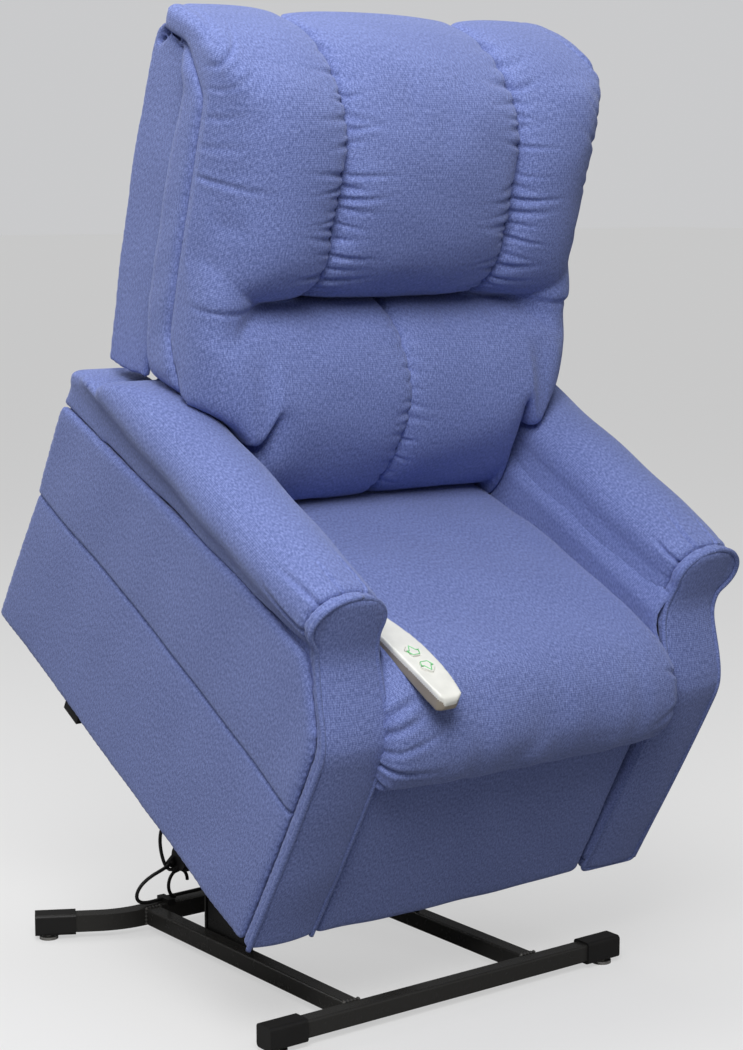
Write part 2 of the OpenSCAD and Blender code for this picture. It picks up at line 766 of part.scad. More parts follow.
// front of the upper pads: a short bulge up from the lower seam, then a long one over the top
function pad_front() = concat(
  bulge([8, pad_mid], pad_depth + 8, pad_mid - pad_foot, 270, 180, 2.3, 8),
  bulge([140, pad_mid], pad_depth + 140, pad_top - pad_mid, 174, 90, 2.5, 10)
);
module upper_pad(x0, x1, plan) {
  color([0.46, 0.54, 0.7]) on_back() intersection() {
    across(x0, x1) polygon(concat(pad_front(), [[141, 394], [90, 390]], behind(pad_foot, 390)));
    translate([0, 0, -100]) linear_extrude(height = 700) polygon(plan);
  }
}
module back_pad_center() {
  upper_pad(1 - channel_x, channel_x - 1, rounded(0, 0, 400, 400, 1));
}
// plan of a side pad, rounded off towards the outer edge
function side_plan(s) = flip(concat(
  [[channel_x + 1, -100]],
  bulge([240, 8], back_x - 242, 108, -90, 0, 1.8, 6),
  [[back_x - 2, 200], [channel_x + 1, 200]]
), s);
module back_pad_left() { upper_pad(-back_x + 1, -channel_x - 1, side_plan(-1)); }
module back_pad_right() { upper_pad(channel_x + 1, back_x - 1, side_plan(1)); }
// front of the lumbar pads, from the foot up to the upper pads' seam
function lumbar_front() = concat(
  bulge([-47, lumbar_mid], lumbar_depth - 47, 155, 270, 180, 1.7, 7),
  bulge([2, lumbar_mid], lumbar_depth + 2, 162, 173, 90, 2.1, 8)
);
// plan of one lumbar pad, rounded off towards a half width
function lumbar_plan(s, half, deep) = flip(concat(
  [[1, -160]],
  bulge([180, deep - 160], half - 180, deep, -90, 0, 2, 8),
  [[half, 100], [1, 100]]
), s);
module lumbar_pad(s) {
  color([0.46, 0.54, 0.7]) on_back() intersection() {
    across(s > 0 ? 1 : -back_x, s > 0 ? back_x : -1)
      polygon(concat(lumbar_front(), behind(-111, 27), [[-47, -112]]));
    union() {
      // narrow between the arms, wide above them
      translate([0, 0, -300]) linear_extrude(height = 230) polygon(lumbar_plan(s, seat_x - 7, 100));
      translate([0, 0, -111]) linear_extrude(height = 219) polygon(lumbar_plan(s, back_x - 4, 150));
    }
  }
}
module lumbar_pad_left() { lumbar_pad(-1); }
module lumbar_pad_right() { lumbar_pad(1); }

// ---- footrest ----
module leg_links_upper() {
  color([0.08, 0.08, 0.09]) on_chair() both(224, 229)
    link_shape(leg_p1, leg_p2, 12, pin_d + run, pin_d);
}
module leg_upper_pins() {
  color([0.6, 0.6, 0.62]) on_chair() pin_pair(224, 237.1, leg_p2, 2, 2);
}
module leg_links_lower() {
  color([0.08, 0.08, 0.09]) on_chair() both(232, 237)
    link_shape(leg_p2, leg_p3, 12, pin_d + run, pin_d);
}
module leg_lower_pins() {
  color([0.6, 0.6, 0.62]) on_chair() pin_pair(231.9, 245, leg_p3, 2, 2);
}
module footrest_brackets() {
  color([0.08, 0.08, 0.09]) on_chair() both(240, 245) difference() {
    union() {
      translate(leg_p3) circle(r = 13);
      translate([37, 105]) square([12, 90]);
    }
    translate(leg_p3) circle(d = pin_d + run);
  }
}
module footrest_board() {
  color([0.72, 0.6, 0.42]) on_chair() translate([4 - foot_x, 28, 6])
    cube([2 * foot_x - 8, 9, foot_h - 5]);
}
module footrest_pad() {
  color([0.44, 0.52, 0.68]) on_chair() across(-foot_x, foot_x)
    polygon(concat(
      [[28, foot_low], [28, foot_h + 2]],
      bulge([10, foot_h - 12], 12, 14, 90, 180, 2, 4),
      bulge([10, foot_low + 14], 12, 14, 180, 270, 2, 4)
    ));
}

placed() base_front_tube();
placed() base_rails();
placed() base_rear_tube();
placed() base_end_caps();
placed() base_glides();
placed() lift_brackets();
placed() base_pivot_pins();
placed() actuator_mount();
placed() cable_loop();
placed() lift_arm_left();
placed() lift_arm_right();
placed() lift_torque_tube();
placed() lift_arm_pins();
placed() front_link_left();
placed() front_link_right();
placed() actuator_housing();
placed() actuator_tube();
placed() actuator_motor();
placed() actuator_rod();
placed() mechanism_plates();
placed() mechanism_cross_tubes();
placed() lift_plates();
placed() chair_pivot_pins();
placed() arm_frame_left();
placed() arm_frame_right();
placed() side_panel_left();
placed() side_panel_right();
placed() arm_front_left();
placed() arm_front_right();
placed() arm_pad_left();
placed() arm_pad_right();
placed() seat_frame();
placed() seat_springs();
placed() seat_cushion();
placed() side_feet();
placed() rear_panel();
placed() handset_body();
placed() button_up();
placed() button_down();
placed() back_frame();
placed() back_brackets();
placed() back_shell();
placed() back_core();
placed() back_pad_left();
placed() back_pad_center();
placed() back_pad_right();
placed() lumbar_pad_left();
placed() lumbar_pad_right();
placed() leg_links_upper();
placed() leg_upper_pins();
placed() leg_links_lower();
placed() leg_lower_pins();
placed() footrest_board();
placed() footrest_brackets();
placed() footrest_pad();
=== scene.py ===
import bpy, bmesh, json, math, random
import numpy as np
from mathutils import Matrix, Vector


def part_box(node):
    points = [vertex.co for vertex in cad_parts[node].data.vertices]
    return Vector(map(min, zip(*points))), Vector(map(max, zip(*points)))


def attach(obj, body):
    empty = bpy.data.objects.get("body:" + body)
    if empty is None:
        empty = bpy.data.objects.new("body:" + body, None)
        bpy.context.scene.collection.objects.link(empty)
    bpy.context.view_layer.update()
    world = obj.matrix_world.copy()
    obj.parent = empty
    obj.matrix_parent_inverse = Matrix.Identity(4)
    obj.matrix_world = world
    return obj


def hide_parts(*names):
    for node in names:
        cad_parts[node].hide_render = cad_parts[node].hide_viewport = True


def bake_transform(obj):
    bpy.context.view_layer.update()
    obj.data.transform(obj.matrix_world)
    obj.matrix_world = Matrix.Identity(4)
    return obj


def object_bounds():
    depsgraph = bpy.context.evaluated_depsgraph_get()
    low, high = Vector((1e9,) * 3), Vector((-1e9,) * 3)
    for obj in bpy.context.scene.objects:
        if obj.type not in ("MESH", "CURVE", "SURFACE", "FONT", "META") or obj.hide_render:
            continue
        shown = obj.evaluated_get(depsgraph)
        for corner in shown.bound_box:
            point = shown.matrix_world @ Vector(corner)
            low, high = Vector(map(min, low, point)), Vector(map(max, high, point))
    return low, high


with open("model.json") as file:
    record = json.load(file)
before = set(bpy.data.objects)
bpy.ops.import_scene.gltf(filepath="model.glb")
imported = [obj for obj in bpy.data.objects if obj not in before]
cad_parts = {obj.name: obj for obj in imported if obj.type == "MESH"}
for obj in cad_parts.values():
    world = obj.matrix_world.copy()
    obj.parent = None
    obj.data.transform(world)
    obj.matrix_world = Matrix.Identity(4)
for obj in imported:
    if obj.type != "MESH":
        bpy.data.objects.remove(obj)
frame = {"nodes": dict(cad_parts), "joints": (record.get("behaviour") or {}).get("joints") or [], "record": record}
cad_lo, cad_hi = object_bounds()
NODES = frame["nodes"]
scene = bpy.context.scene

# ---------------------------------------------------------------- frames
# chair-body frame (x across, u rearward, v up), found from two joints whose local places are the design's own
JOINTS = {j["name"]: j for j in frame["joints"]}
RECLINE_UV = (0.690, 0.255)
FOOTREST_UV = (0.081, 0.245)
BACK_UV = (0.620, 0.700)
BACK_LEAN = math.radians(10.9)
ja, jb = Vector(JOINTS["recline"]["pos_m"]), Vector(JOINTS["footrest"]["pos_m"])
DRAWN_SLOPE = math.atan2(RECLINE_UV[1] - FOOTREST_UV[1], RECLINE_UV[0] - FOOTREST_UV[0])
TILT = math.atan2(ja.z - jb.z, ja.y - jb.y) - DRAWN_SLOPE
R_CHAIR = Matrix.Rotation(TILT, 4, "X")
CHAIR = Matrix.Translation(ja - R_CHAIR @ Vector((0, *RECLINE_UV))) @ R_CHAIR
BACK = CHAIR @ Matrix.Translation((0, *BACK_UV)) @ Matrix.Rotation(-BACK_LEAN, 4, "X")
WORLD = Matrix.Identity(4)


def to_local(co, m):
    """World points as rows, in the frame of matrix m."""
    a = np.array(m, float)
    return (co - a[:3, 3]) @ a[:3, :3]


def to_world(co, m):
    a = np.array(m, float)
    return co @ a[:3, :3].T + a[:3, 3]


def verts_of(me):
    co = np.empty(len(me.vertices) * 3, np.float64)
    me.vertices.foreach_get("co", co)
    return co.reshape(-1, 3)


def set_verts(me, co):
    me.vertices.foreach_set("co", co.astype(np.float32).ravel())
    me.update()


def lbox(node, m):
    """Low and high corner of a CAD node in the frame of matrix m."""
    co = to_local(verts_of(NODES[node].data), m)
    return co.min(0), co.max(0)


def normals_of(me):
    n = np.empty(len(me.vertices) * 3, np.float32)
    me.vertices.foreach_get("normal", n)
    return n.reshape(-1, 3).astype(float)


# ---------------------------------------------------------------- materials
def new_mat(name):
    m = bpy.data.materials.new(name)
    m.use_nodes = True
    nt = m.node_tree
    nt.nodes.clear()
    out = nt.nodes.new("ShaderNodeOutputMaterial")
    bsdf = nt.nodes.new("ShaderNodeBsdfPrincipled")
    nt.links.new(bsdf.outputs[0], out.inputs[0])
    return m, nt, bsdf


def add(nt, kind, **kw):
    n = nt.nodes.new(kind)
    for k, v in kw.items():
        if k.startswith("i_"):
            n.inputs[k[2:].replace("_", " ")].default_value = v
        else:
            setattr(n, k, v)
    return n


def ramp(nt, stops):
    r = nt.nodes.new("ShaderNodeValToRGB")
    el = r.color_ramp.elements
    while len(el) < len(stops):
        el.new(0.5)
    for e, (p, c) in zip(el, stops):
        e.position, e.color = p, (*c, 1)
    return r


def math_node(nt, op, a, b=None):
    n = nt.nodes.new("ShaderNodeMath")
    n.operation = op
    for i, s in enumerate((a, b)):
        if s is None:
            continue
        if isinstance(s, (int, float)):
            n.inputs[i].default_value = s
        else:
            nt.links.new(s, n.inputs[i])
    return n.outputs[0]


def mix_rgb(nt, kind, fac, a, b):
    n = nt.nodes.new("ShaderNodeMix")
    n.data_type, n.blend_type = "RGBA", kind
    for sock, val in ((n.inputs[0], fac), (n.inputs[6], a), (n.inputs[7], b)):
        if isinstance(val, (int, float)):
            sock.default_value = val
        elif isinstance(val, tuple):
            sock.default_value = (*val, 1)
        else:
            nt.links.new(val, sock)
    return n.outputs[2]


def fabric_material(name, dark, mid, light, rough=0.92):
    """Heathered plain weave with a fine rib, laid out in metres on the UV map."""
    m, nt, b = new_mat(name)
    L = nt.links.new
    uv = add(nt, "ShaderNodeUVMap", uv_map="UVMap")
    thread = dict(wave_type="BANDS", i_Detail=2.0, i_Detail_Scale=3.0)
    warp = add(nt, "ShaderNodeTexWave", bands_direction="X", i_Scale=170.0, i_Distortion=1.2, **thread)
    weft = add(nt, "ShaderNodeTexWave", bands_direction="Y", i_Scale=125.0, i_Distortion=1.6, **thread)
    L(uv.outputs[0], warp.inputs["Vector"])
    L(uv.outputs[0], weft.inputs["Vector"])
    # coloured fibres: short flecks along the threads
    stretch = add(nt, "ShaderNodeMapping")
    stretch.inputs["Scale"].default_value = (1.0, 0.42, 1.0)
    L(uv.outputs[0], stretch.inputs[0])
    fleck = add(nt, "ShaderNodeTexNoise", i_Scale=900.0, i_Detail=3.0, i_Roughness=0.65)
    L(stretch.outputs[0], fleck.inputs["Vector"])
    clump = add(nt, "ShaderNodeTexNoise", i_Scale=400.0, i_Detail=3.0, i_Roughness=0.6)
    L(stretch.outputs[0], clump.inputs["Vector"])
    fine_part = math_node(nt, "MULTIPLY", fleck.outputs[0], 0.45)
    heather = math_node(nt, "ADD", fine_part, math_node(nt, "MULTIPLY", clump.outputs[0], 0.55))
    tone = ramp(nt, [(0.38, dark), (0.50, mid), (0.62, light)])
    L(heather, tone.inputs[0])
    cloud = add(nt, "ShaderNodeTexNoise", i_Scale=9.0, i_Detail=3.0)
    L(uv.outputs[0], cloud.inputs["Vector"])
    cloud_tone = ramp(nt, [(0.25, (0.93, 0.93, 0.94)), (0.75, (1.05, 1.05, 1.04))])
    L(cloud.outputs[0], cloud_tone.inputs[0])
    c = mix_rgb(nt, "MULTIPLY", 1.0, tone.outputs[0], cloud_tone.outputs[0])
    rib = ramp(nt, [(0.0, (0.80, 0.80, 0.82)), (0.6, (1.04, 1.04, 1.04))])
    L(weft.outputs["Fac"], rib.inputs[0])
    c = mix_rgb(nt, "MULTIPLY", 0.75, c, rib.outputs[0])
    L(c, b.inputs["Base Color"])
    height = math_node(nt, "MULTIPLY", warp.outputs["Fac"], weft.outputs["Fac"])
    height = math_node(nt, "ADD", height, math_node(nt, "MULTIPLY", fleck.outputs[0], 0.5))
    bump = add(nt, "ShaderNodeBump", i_Strength=0.5, i_Distance=0.0007)
    L(height, bump.inputs["Height"])
    L(bump.outputs[0], b.inputs["Normal"])
    b.inputs["Roughness"].default_value = rough
    b.inputs["Sheen Weight"].default_value = 0.35
    b.inputs["Sheen Roughness"].default_value = 0.45
    b.inputs["Sheen Tint"].default_value = (0.62, 0.68, 0.95, 1)
    b.inputs["Specular IOR Level"].default_value = 0.15
    return m


GRAIN_SCALE = 60.0


def metal_material(name, base, rough, metallic, wear=(0.30, 0.29, 0.27), wear_amt=0.35):
    """Powder coat or bright metal with worn edges, fine texture and faint scuffs."""
    m, nt, b = new_mat(name)
    L = nt.links.new
    tc = add(nt, "ShaderNodeTexCoord")
    fine = add(nt, "ShaderNodeTexNoise", i_Scale=GRAIN_SCALE * 14, i_Detail=4.0)
    broad = add(nt, "ShaderNodeTexNoise", i_Scale=GRAIN_SCALE, i_Detail=6.0, i_Roughness=0.7)
    L(tc.outputs["Object"], fine.inputs["Vector"])
    L(tc.outputs["Object"], broad.inputs["Vector"])
    geo = add(nt, "ShaderNodeNewGeometry")
    edge = ramp(nt, [(0.515, (0, 0, 0)), (0.60, (1, 1, 1))])
    L(geo.outputs["Pointiness"], edge.inputs[0])
    scuff = ramp(nt, [(0.63, (0, 0, 0)), (0.74, (1, 1, 1))])
    L(broad.outputs[0], scuff.inputs[0])
    faint = math_node(nt, "MULTIPLY", scuff.outputs[0], 0.5)
    fac = math_node(nt, "MULTIPLY", math_node(nt, "MAXIMUM", edge.outputs[0], faint), wear_amt)
    c = mix_rgb(nt, "MIX", fac, base, wear)
    L(c, b.inputs["Base Color"])
    rr = math_node(nt, "ADD", rough, math_node(nt, "MULTIPLY", broad.outputs[0], 0.16))
    L(rr, b.inputs["Roughness"])
    b.inputs["Metallic"].default_value = metallic
    bump = add(nt, "ShaderNodeBump", i_Strength=0.25, i_Distance=0.0003)
    L(fine.outputs[0], bump.inputs["Height"])
    L(bump.outputs[0], b.inputs["Normal"])
    return m


def wood_material(name):
    m, nt, b = new_mat(name)
    L = nt.links.new
    tc = add(nt, "ShaderNodeTexCoord")
    mp = add(nt, "ShaderNodeMapping")
    mp.inputs["Scale"].default_value = (6.0, 1.2, 6.0)
    L(tc.outputs["Object"], mp.inputs[0])
    w = add(nt, "ShaderNodeTexWave", wave_type="BANDS", bands_direction="Z")
    for key, value in (("Scale", 7.0), ("Distortion", 7.0), ("Detail", 4.0)):
        w.inputs[key].default_value = value
    L(mp.outputs[0], w.inputs["Vector"])
    r = ramp(nt, [(0.0, (0.42, 0.28, 0.15)), (1.0, (0.62, 0.46, 0.28))])
    L(w.outputs["Fac"], r.inputs[0])
    L(r.outputs[0], b.inputs["Base Color"])
    bump = add(nt, "ShaderNodeBump", i_Strength=0.2, i_Distance=0.0005)
    L(w.outputs["Fac"], bump.inputs["Height"])
    L(bump.outputs[0], b.inputs["Normal"])
    b.inputs["Roughness"].default_value = 0.7
    return m


def plastic_material(name, base, rough, grain, spec=0.5):
    m, nt, b = new_mat(name)
    L = nt.links.new
    tc = add(nt, "ShaderNodeTexCoord")
    n = add(nt, "ShaderNodeTexNoise", i_Scale=900.0, i_Detail=2.0)
    big = add(nt, "ShaderNodeTexNoise", i_Scale=35.0, i_Detail=4.0)
    L(tc.outputs["Object"], n.inputs["Vector"])
    L(tc.outputs["Object"], big.inputs["Vector"])
    r = ramp(nt, [(0.3, tuple(0.93 * x for x in base)), (0.7, tuple(min(1, 1.05 * x) for x in base))])
    L(big.outputs[0], r.inputs[0])
    L(r.outputs[0], b.inputs["Base Color"])
    L(math_node(nt, "ADD", rough, math_node(nt, "MULTIPLY", big.outputs[0], 0.08)), b.inputs["Roughness"])
    bump = add(nt, "ShaderNodeBump", i_Strength=grain, i_Distance=0.0002)
    L(n.outputs[0], bump.inputs["Height"])
    L(bump.outputs[0], b.inputs["Normal"])
    b.inputs["Specular IOR Level"].default_value = spec
    return m


FABRIC = fabric_material("woven_blue", (0.096, 0.126, 0.300), (0.166, 0.212, 0.470), (0.264, 0.325, 0.650))
WELT_FABRIC = fabric_material(
    "woven_blue_welt", (0.086, 0.113, 0.272), (0.151, 0.195, 0.435), (0.244, 0.300, 0.610)
)
BLACK_STEEL = metal_material("satin_black_steel", (0.0048, 0.0046, 0.0044), 0.18, 0.0, wear_amt=0.10)
BLACK_STEEL.node_tree.nodes["Principled BSDF"].inputs["Specular IOR Level"].default_value = 0.20
LINK_STEEL = metal_material("zinc_black_links", (0.016, 0.016, 0.017), 0.32, 0.3, wear_amt=0.4)
BRIGHT = metal_material("nickel", (0.62, 0.61, 0.58), 0.22, 1.0, wear=(0.35, 0.33, 0.30), wear_amt=0.25)
PLY = wood_material("raw_plywood")
BLACK_PLASTIC = plastic_material("charcoal_plastic", (0.014, 0.0135, 0.013), 0.44, 0.5, 0.3)
IVORY = plastic_material("ivory_gloss", (0.80, 0.80, 0.75), 0.16, 0.04, 0.6)
UNDERSIDE = plastic_material("taupe_underside", (0.30, 0.26, 0.21), 0.45, 0.4)
GREEN = plastic_material("green_print", (0.16, 0.62, 0.22), 0.4, 0.1)
THREAD = plastic_material("cord_black", (0.014, 0.014, 0.014), 0.5, 0.6)
BY_SLOT = {
    "black_steel": BLACK_STEEL, "bright_steel": BRIGHT, "plywood": PLY, "black_plastic": BLACK_PLASTIC,
    "ivory_plastic": IVORY, "white_key": IVORY, "upholstery": FABRIC,
}
LINK_NODES = (
    "leg_links", "footrest_brackets", "mechanism", "lift_plates", "back_brackets", "front_link",
    "lift_arm_left", "lift_arm_right",
)
for row in frame["record"]["subparts"]:
    node = row["node"]
    is_link = node.startswith(LINK_NODES) and "pins" not in node
    slots = NODES[node].data.materials
    slots.clear()
    slots.append(LINK_STEEL if is_link else BY_SLOT[row["material_slot"]])


# ---------------------------------------------------------------- helpers for soft goods
def ripple(t, seed, waves, low, high):
    """A smooth random curve of t (metres) with wavelengths between low and high, about -1 to 1."""
    rng = random.Random(seed)
    y = np.zeros_like(t)
    for _ in range(waves):
        lam = rng.uniform(low, high)
        y += rng.uniform(0.5, 1.0) * np.sin(t * 2 * math.pi / lam + rng.uniform(0, 6.28))
    return y / math.sqrt(waves)


def wrinkles(along, away, seed, lo, hi, spacing, reach, width, depth, slant=0.25):
    """Short creases that start on a seam (away 0) between lo and hi along it and fade with distance."""
    rng = random.Random(seed)
    off = np.zeros_like(along)
    at = lo
    while at < hi:
        length = reach * rng.uniform(0.5, 1.35)
        wide = width * rng.uniform(0.8, 1.35)
        deep = depth * rng.uniform(0.45, 1.2)
        d = along - at - rng.uniform(-slant, slant) * away
        fade = np.exp(-((away / length) ** 2))
        off += deep * fade * (0.55 * gauss(d, wide * 2.3) - 1.2 * gauss(d, wide))
        at += spacing * rng.uniform(0.55, 1.5)
    return off


def gauss(d, w):
    return np.exp(-((d / w) ** 2))


def box_uv(me, m):
    """UV in metres, each face laid on the plane of the local frame it faces most."""
    co = to_local(verts_of(me), m)
    nl = len(me.loops)
    vi = np.empty(nl, np.int32)
    me.loops.foreach_get("vertex_index", vi)
    pn = np.empty(len(me.polygons) * 3, np.float32)
    me.polygons.foreach_get("normal", pn)
    pn = pn.reshape(-1, 3).astype(float) @ np.array(m, float)[:3, :3]
    tot = np.empty(len(me.polygons), np.int32)
    me.polygons.foreach_get("loop_total", tot)
    facing = np.repeat(np.abs(pn).argmax(1), tot)[:, None]
    p = co[vi]
    uv = np.where(facing == 0, p[:, [1, 2]], np.where(facing == 1, p[:, [0, 2]], p[:, [0, 1]]))
    layer = me.uv_layers.get("UVMap") or me.uv_layers.new(name="UVMap")
    layer.data.foreach_set("uv", uv.astype(np.float32).ravel())


def edges_of(me):
    """Vertex pairs of a mesh, one row for each edge."""
    edges = np.empty(len(me.edges) * 2, np.int32)
    me.edges.foreach_get("vertices", edges)
    return edges.reshape(-1, 2)


def relax(co, edges, rounds, weight=None):
    """Move every vertex half way to the mean of its neighbours, some rounds long."""
    n = len(co)
    deg = np.bincount(edges.ravel(), minlength=n).astype(float)
    deg[deg == 0] = 1
    a, b = edges.T
    for _ in range(rounds):
        total = np.stack([np.bincount(a, co[b, k], n) + np.bincount(b, co[a, k], n) for k in range(3)], 1)
        step = (total / deg[:, None] - co) * 0.5
        co = co + (step if weight is None else step * weight[:, None])
    return co


def remeshed(nodes, voxel, fillers=()):
    """One skin round a node, or round several nodes and the closed fillers between them."""
    bm = bmesh.new()
    for node in [nodes] if isinstance(nodes, str) else nodes:
        bm.from_mesh(NODES[node].data)
    bmesh.ops.remove_doubles(bm, verts=bm.verts, dist=1e-5)
    for me in fillers:
        bm.from_mesh(me)
    me = bpy.data.meshes.new("tmp")
    bm.to_mesh(me)
    bm.free()
    ob = bpy.data.objects.new("tmp", me)
    scene.collection.objects.link(ob)
    mod = ob.modifiers.new("r", "REMESH")
    mod.mode, mod.voxel_size, mod.use_smooth_shade = "VOXEL", voxel, True
    dg = bpy.context.evaluated_depsgraph_get()
    out = bpy.data.meshes.new_from_object(ob.evaluated_get(dg))
    bpy.data.objects.remove(ob)
    return out


CLOTH_FRAMES, CLOTH_PRESSURE = 20, 4.0


def inflated(me, cap, held):
    """Blow a cover up with Blender's Cloth; held vertices stay, and no point moves further than cap."""
    start = verts_of(me)
    ob = bpy.data.objects.new("tmp_cloth", me)
    scene.collection.objects.link(ob)
    pins = ob.vertex_groups.new(name="held")
    pins.add([int(i) for i in np.nonzero(held)[0]], 1.0, "REPLACE")
    mod = ob.modifiers.new("cloth", "CLOTH")
    cloth = mod.settings
    cloth.quality, cloth.mass = 4, 0.25
    cloth.use_pressure, cloth.uniform_pressure_force = True, CLOTH_PRESSURE
    cloth.tension_stiffness = cloth.compression_stiffness = 18.0
    cloth.bending_stiffness, cloth.air_damping = 0.4, 2.0
    cloth.shrink_min = -0.03
    cloth.vertex_group_mass = "held"
    cloth.effector_weights.gravity = 0.0
    mod.collision_settings.use_collision = False
    mod.collision_settings.use_self_collision = False
    mod.point_cache.frame_start, mod.point_cache.frame_end = 1, CLOTH_FRAMES
    for f in range(1, CLOTH_FRAMES + 1):
        scene.frame_set(f)
    dg = bpy.context.evaluated_depsgraph_get()
    out = bpy.data.meshes.new_from_object(ob.evaluated_get(dg))
    bpy.data.objects.remove(ob)
    scene.frame_set(1)
    move = verts_of(out) - start
    far = np.linalg.norm(move, axis=1)
    # the cap is soft, so that a swollen face keeps its curve
    move *= (cap * np.tanh(far / cap) / np.maximum(far, 1e-9))[:, None]
    move[~np.isfinite(move).all(1)] = 0
    set_verts(out, start + move)
    return out


def link(name, me, mat, body):
    ob = bpy.data.objects.new(name, me)
    scene.collection.objects.link(ob)
    me.materials.clear()
    me.materials.append(mat)
    me.polygons.foreach_set("use_smooth", np.ones(len(me.polygons), bool))
    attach(ob, body)
    return ob


def soft(name, nodes, body, shape, m=CHAIR, voxel=0.006, rounds=10, grow=0.0, cap=0.0, hold=None, fillers=()):
    """A crowned, smoothed cover made from CAD nodes.

    shape(p, n) gives the outward offset at local points p with local normals n,
    or a pair of that offset and a local displacement.
    """
    me = remeshed(nodes, voxel, fillers)
    if cap:
        me = inflated(me, cap, hold(to_local(verts_of(me), m)))
    set_verts(me, relax(verts_of(me), edges_of(me), rounds))
    bm = bmesh.new()
    bm.from_mesh(me)
    bmesh.ops.subdivide_edges(bm, edges=bm.edges, cuts=1, use_grid_fill=True)
    bm.to_mesh(me)
    bm.free()
    co = relax(verts_of(me), edges_of(me), 3)
    set_verts(me, co)
    n = normals_of(me)
    turn = np.array(m, float)[:3, :3]
    moved = shape(to_local(co, m), n @ turn)
    off, vec = moved if isinstance(moved, tuple) else (moved, np.zeros_like(co))
    set_verts(me, co + n * (grow + off)[:, None] + vec @ turn.T)
    box_uv(me, m)
    ob = link(name, me, FABRIC, body)
    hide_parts(*([nodes] if isinstance(nodes, str) else nodes))
    return ob


def sweep(name, path, radius, mat, body, m=WORLD, closed=False, sides=10):
    """A round tube along a path of local points."""
    pts = [Vector(p) for p in path]
    bm = bmesh.new()
    rings = []
    n = len(pts)
    up = None
    dist = 0.0
    dists = []
    for i, p in enumerate(pts):
        a = pts[(i - 1) % n] if closed or i else pts[0]
        b = pts[(i + 1) % n] if closed or i < n - 1 else pts[-1]
        t = (b - a).normalized()
        if up is None:
            up = t.orthogonal().normalized()
        up = (up - t * up.dot(t)).normalized()
        side = t.cross(up)
        turns = [k * 2 * math.pi / sides for k in range(sides)]
        rings.append([bm.verts.new(p + (up * math.cos(a) + side * math.sin(a)) * radius) for a in turns])
        if i:
            dist += (pts[i] - pts[i - 1]).length
        dists.append(dist)
    uvl = bm.loops.layers.uv.new("UVMap")
    last = n if closed else n - 1
    for i in range(last):
        ra, rb = rings[i], rings[(i + 1) % n]
        d0, d1 = dists[i], dists[i] + (pts[(i + 1) % n] - pts[i]).length
        for k in range(sides):
            f = bm.faces.new((ra[k], ra[(k + 1) % sides], rb[(k + 1) % sides], rb[k]))
            w = 2 * math.pi * radius / sides
            for lp, uv in zip(f.loops, ((d0, k * w), (d0, (k + 1) * w), (d1, (k + 1) * w), (d1, k * w))):
                lp[uvl].uv = uv
    if not closed:
        bm.faces.new(list(reversed(rings[0])))
        bm.faces.new(rings[-1])
    bmesh.ops.recalc_face_normals(bm, faces=bm.faces)
    me = bpy.data.meshes.new(name)
    bm.to_mesh(me)
    bm.free()
    set_verts(me, to_world(verts_of(me), m))
    return link(name, me, mat, body)


def grid_sheet(name, fn, nu, nv, mat, body, m=CHAIR, thick=0.0):
    """A sheet from a function of two shares 0 to 1, in local metres; its UV follows the arc length."""
    P = np.array([[fn(i / nu, j / nv) for j in range(nv + 1)] for i in range(nu + 1)], float)
    du = np.concatenate([[0], np.cumsum(np.linalg.norm(np.diff(P[:, nv // 2], axis=0), axis=1))])
    dv = np.concatenate([[0], np.cumsum(np.linalg.norm(np.diff(P[nu // 2], axis=0), axis=1))])
    W = to_world(P.reshape(-1, 3), m)
    faces, uvs = [], []
    for i in range(nu):
        for j in range(nv):
            q = [(i, j), (i + 1, j), (i + 1, j + 1), (i, j + 1)]
            faces.append([a * (nv + 1) + b for a, b in q])
            uvs += [(du[a], dv[b]) for a, b in q]
    me = bpy.data.meshes.new(name)
    me.from_pydata([tuple(v) for v in W], [], faces)
    layer = me.uv_layers.new(name="UVMap")
    layer.data.foreach_set("uv", np.array(uvs, np.float32).ravel())
    ob = bpy.data.objects.new(name, me)
    scene.collection.objects.link(ob)
    me.materials.append(mat)
    me.polygons.foreach_set("use_smooth", np.ones(len(me.polygons), bool))
    if thick:
        mod = ob.modifiers.new("s", "SOLIDIFY")
        mod.thickness, mod.offset = thick, 0
    if body:
        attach(ob, body)
    return ob


# ---------------------------------------------------------------- sizes read from the CAD
side_lo, side_hi = lbox("side_panel_right", CHAIR)
arm_lo, arm_hi = lbox("arm_pad_right", CHAIR)
front_lo, front_hi = lbox("arm_front_right", CHAIR)
seat_lo, seat_hi = lbox("seat_cushion", CHAIR)
foot_lo, foot_hi = lbox("footrest_pad", CHAIR)
core_hi = lbox("back_core", BACK)[1]
pad_lo, pad_hi = lbox("back_pad_center", BACK)
lum_lo, lum_hi = lbox("lumbar_pad_right", BACK)
panel_lo, panel_hi = lbox("rear_panel", CHAIR)
shell_lo, shell_hi = lbox("back_shell", BACK)
CHANNEL_X = pad_hi[0]
ARM_IN, ARM_OUT = arm_lo[0], arm_hi[0]
ROLL_HALF_HEIGHT, ROLL_RADIUS = 0.048, 0.056
ROLL_X, ROLL_Z = (ARM_IN + ARM_OUT) / 2, arm_hi[2] - ROLL_HALF_HEIGHT
BACK_X = core_hi[0]

# ---------------------------------------------------------------- arms and sides
LOW_SEAM_V, LOW_SEAM_ARCH = 0.258, 0.012


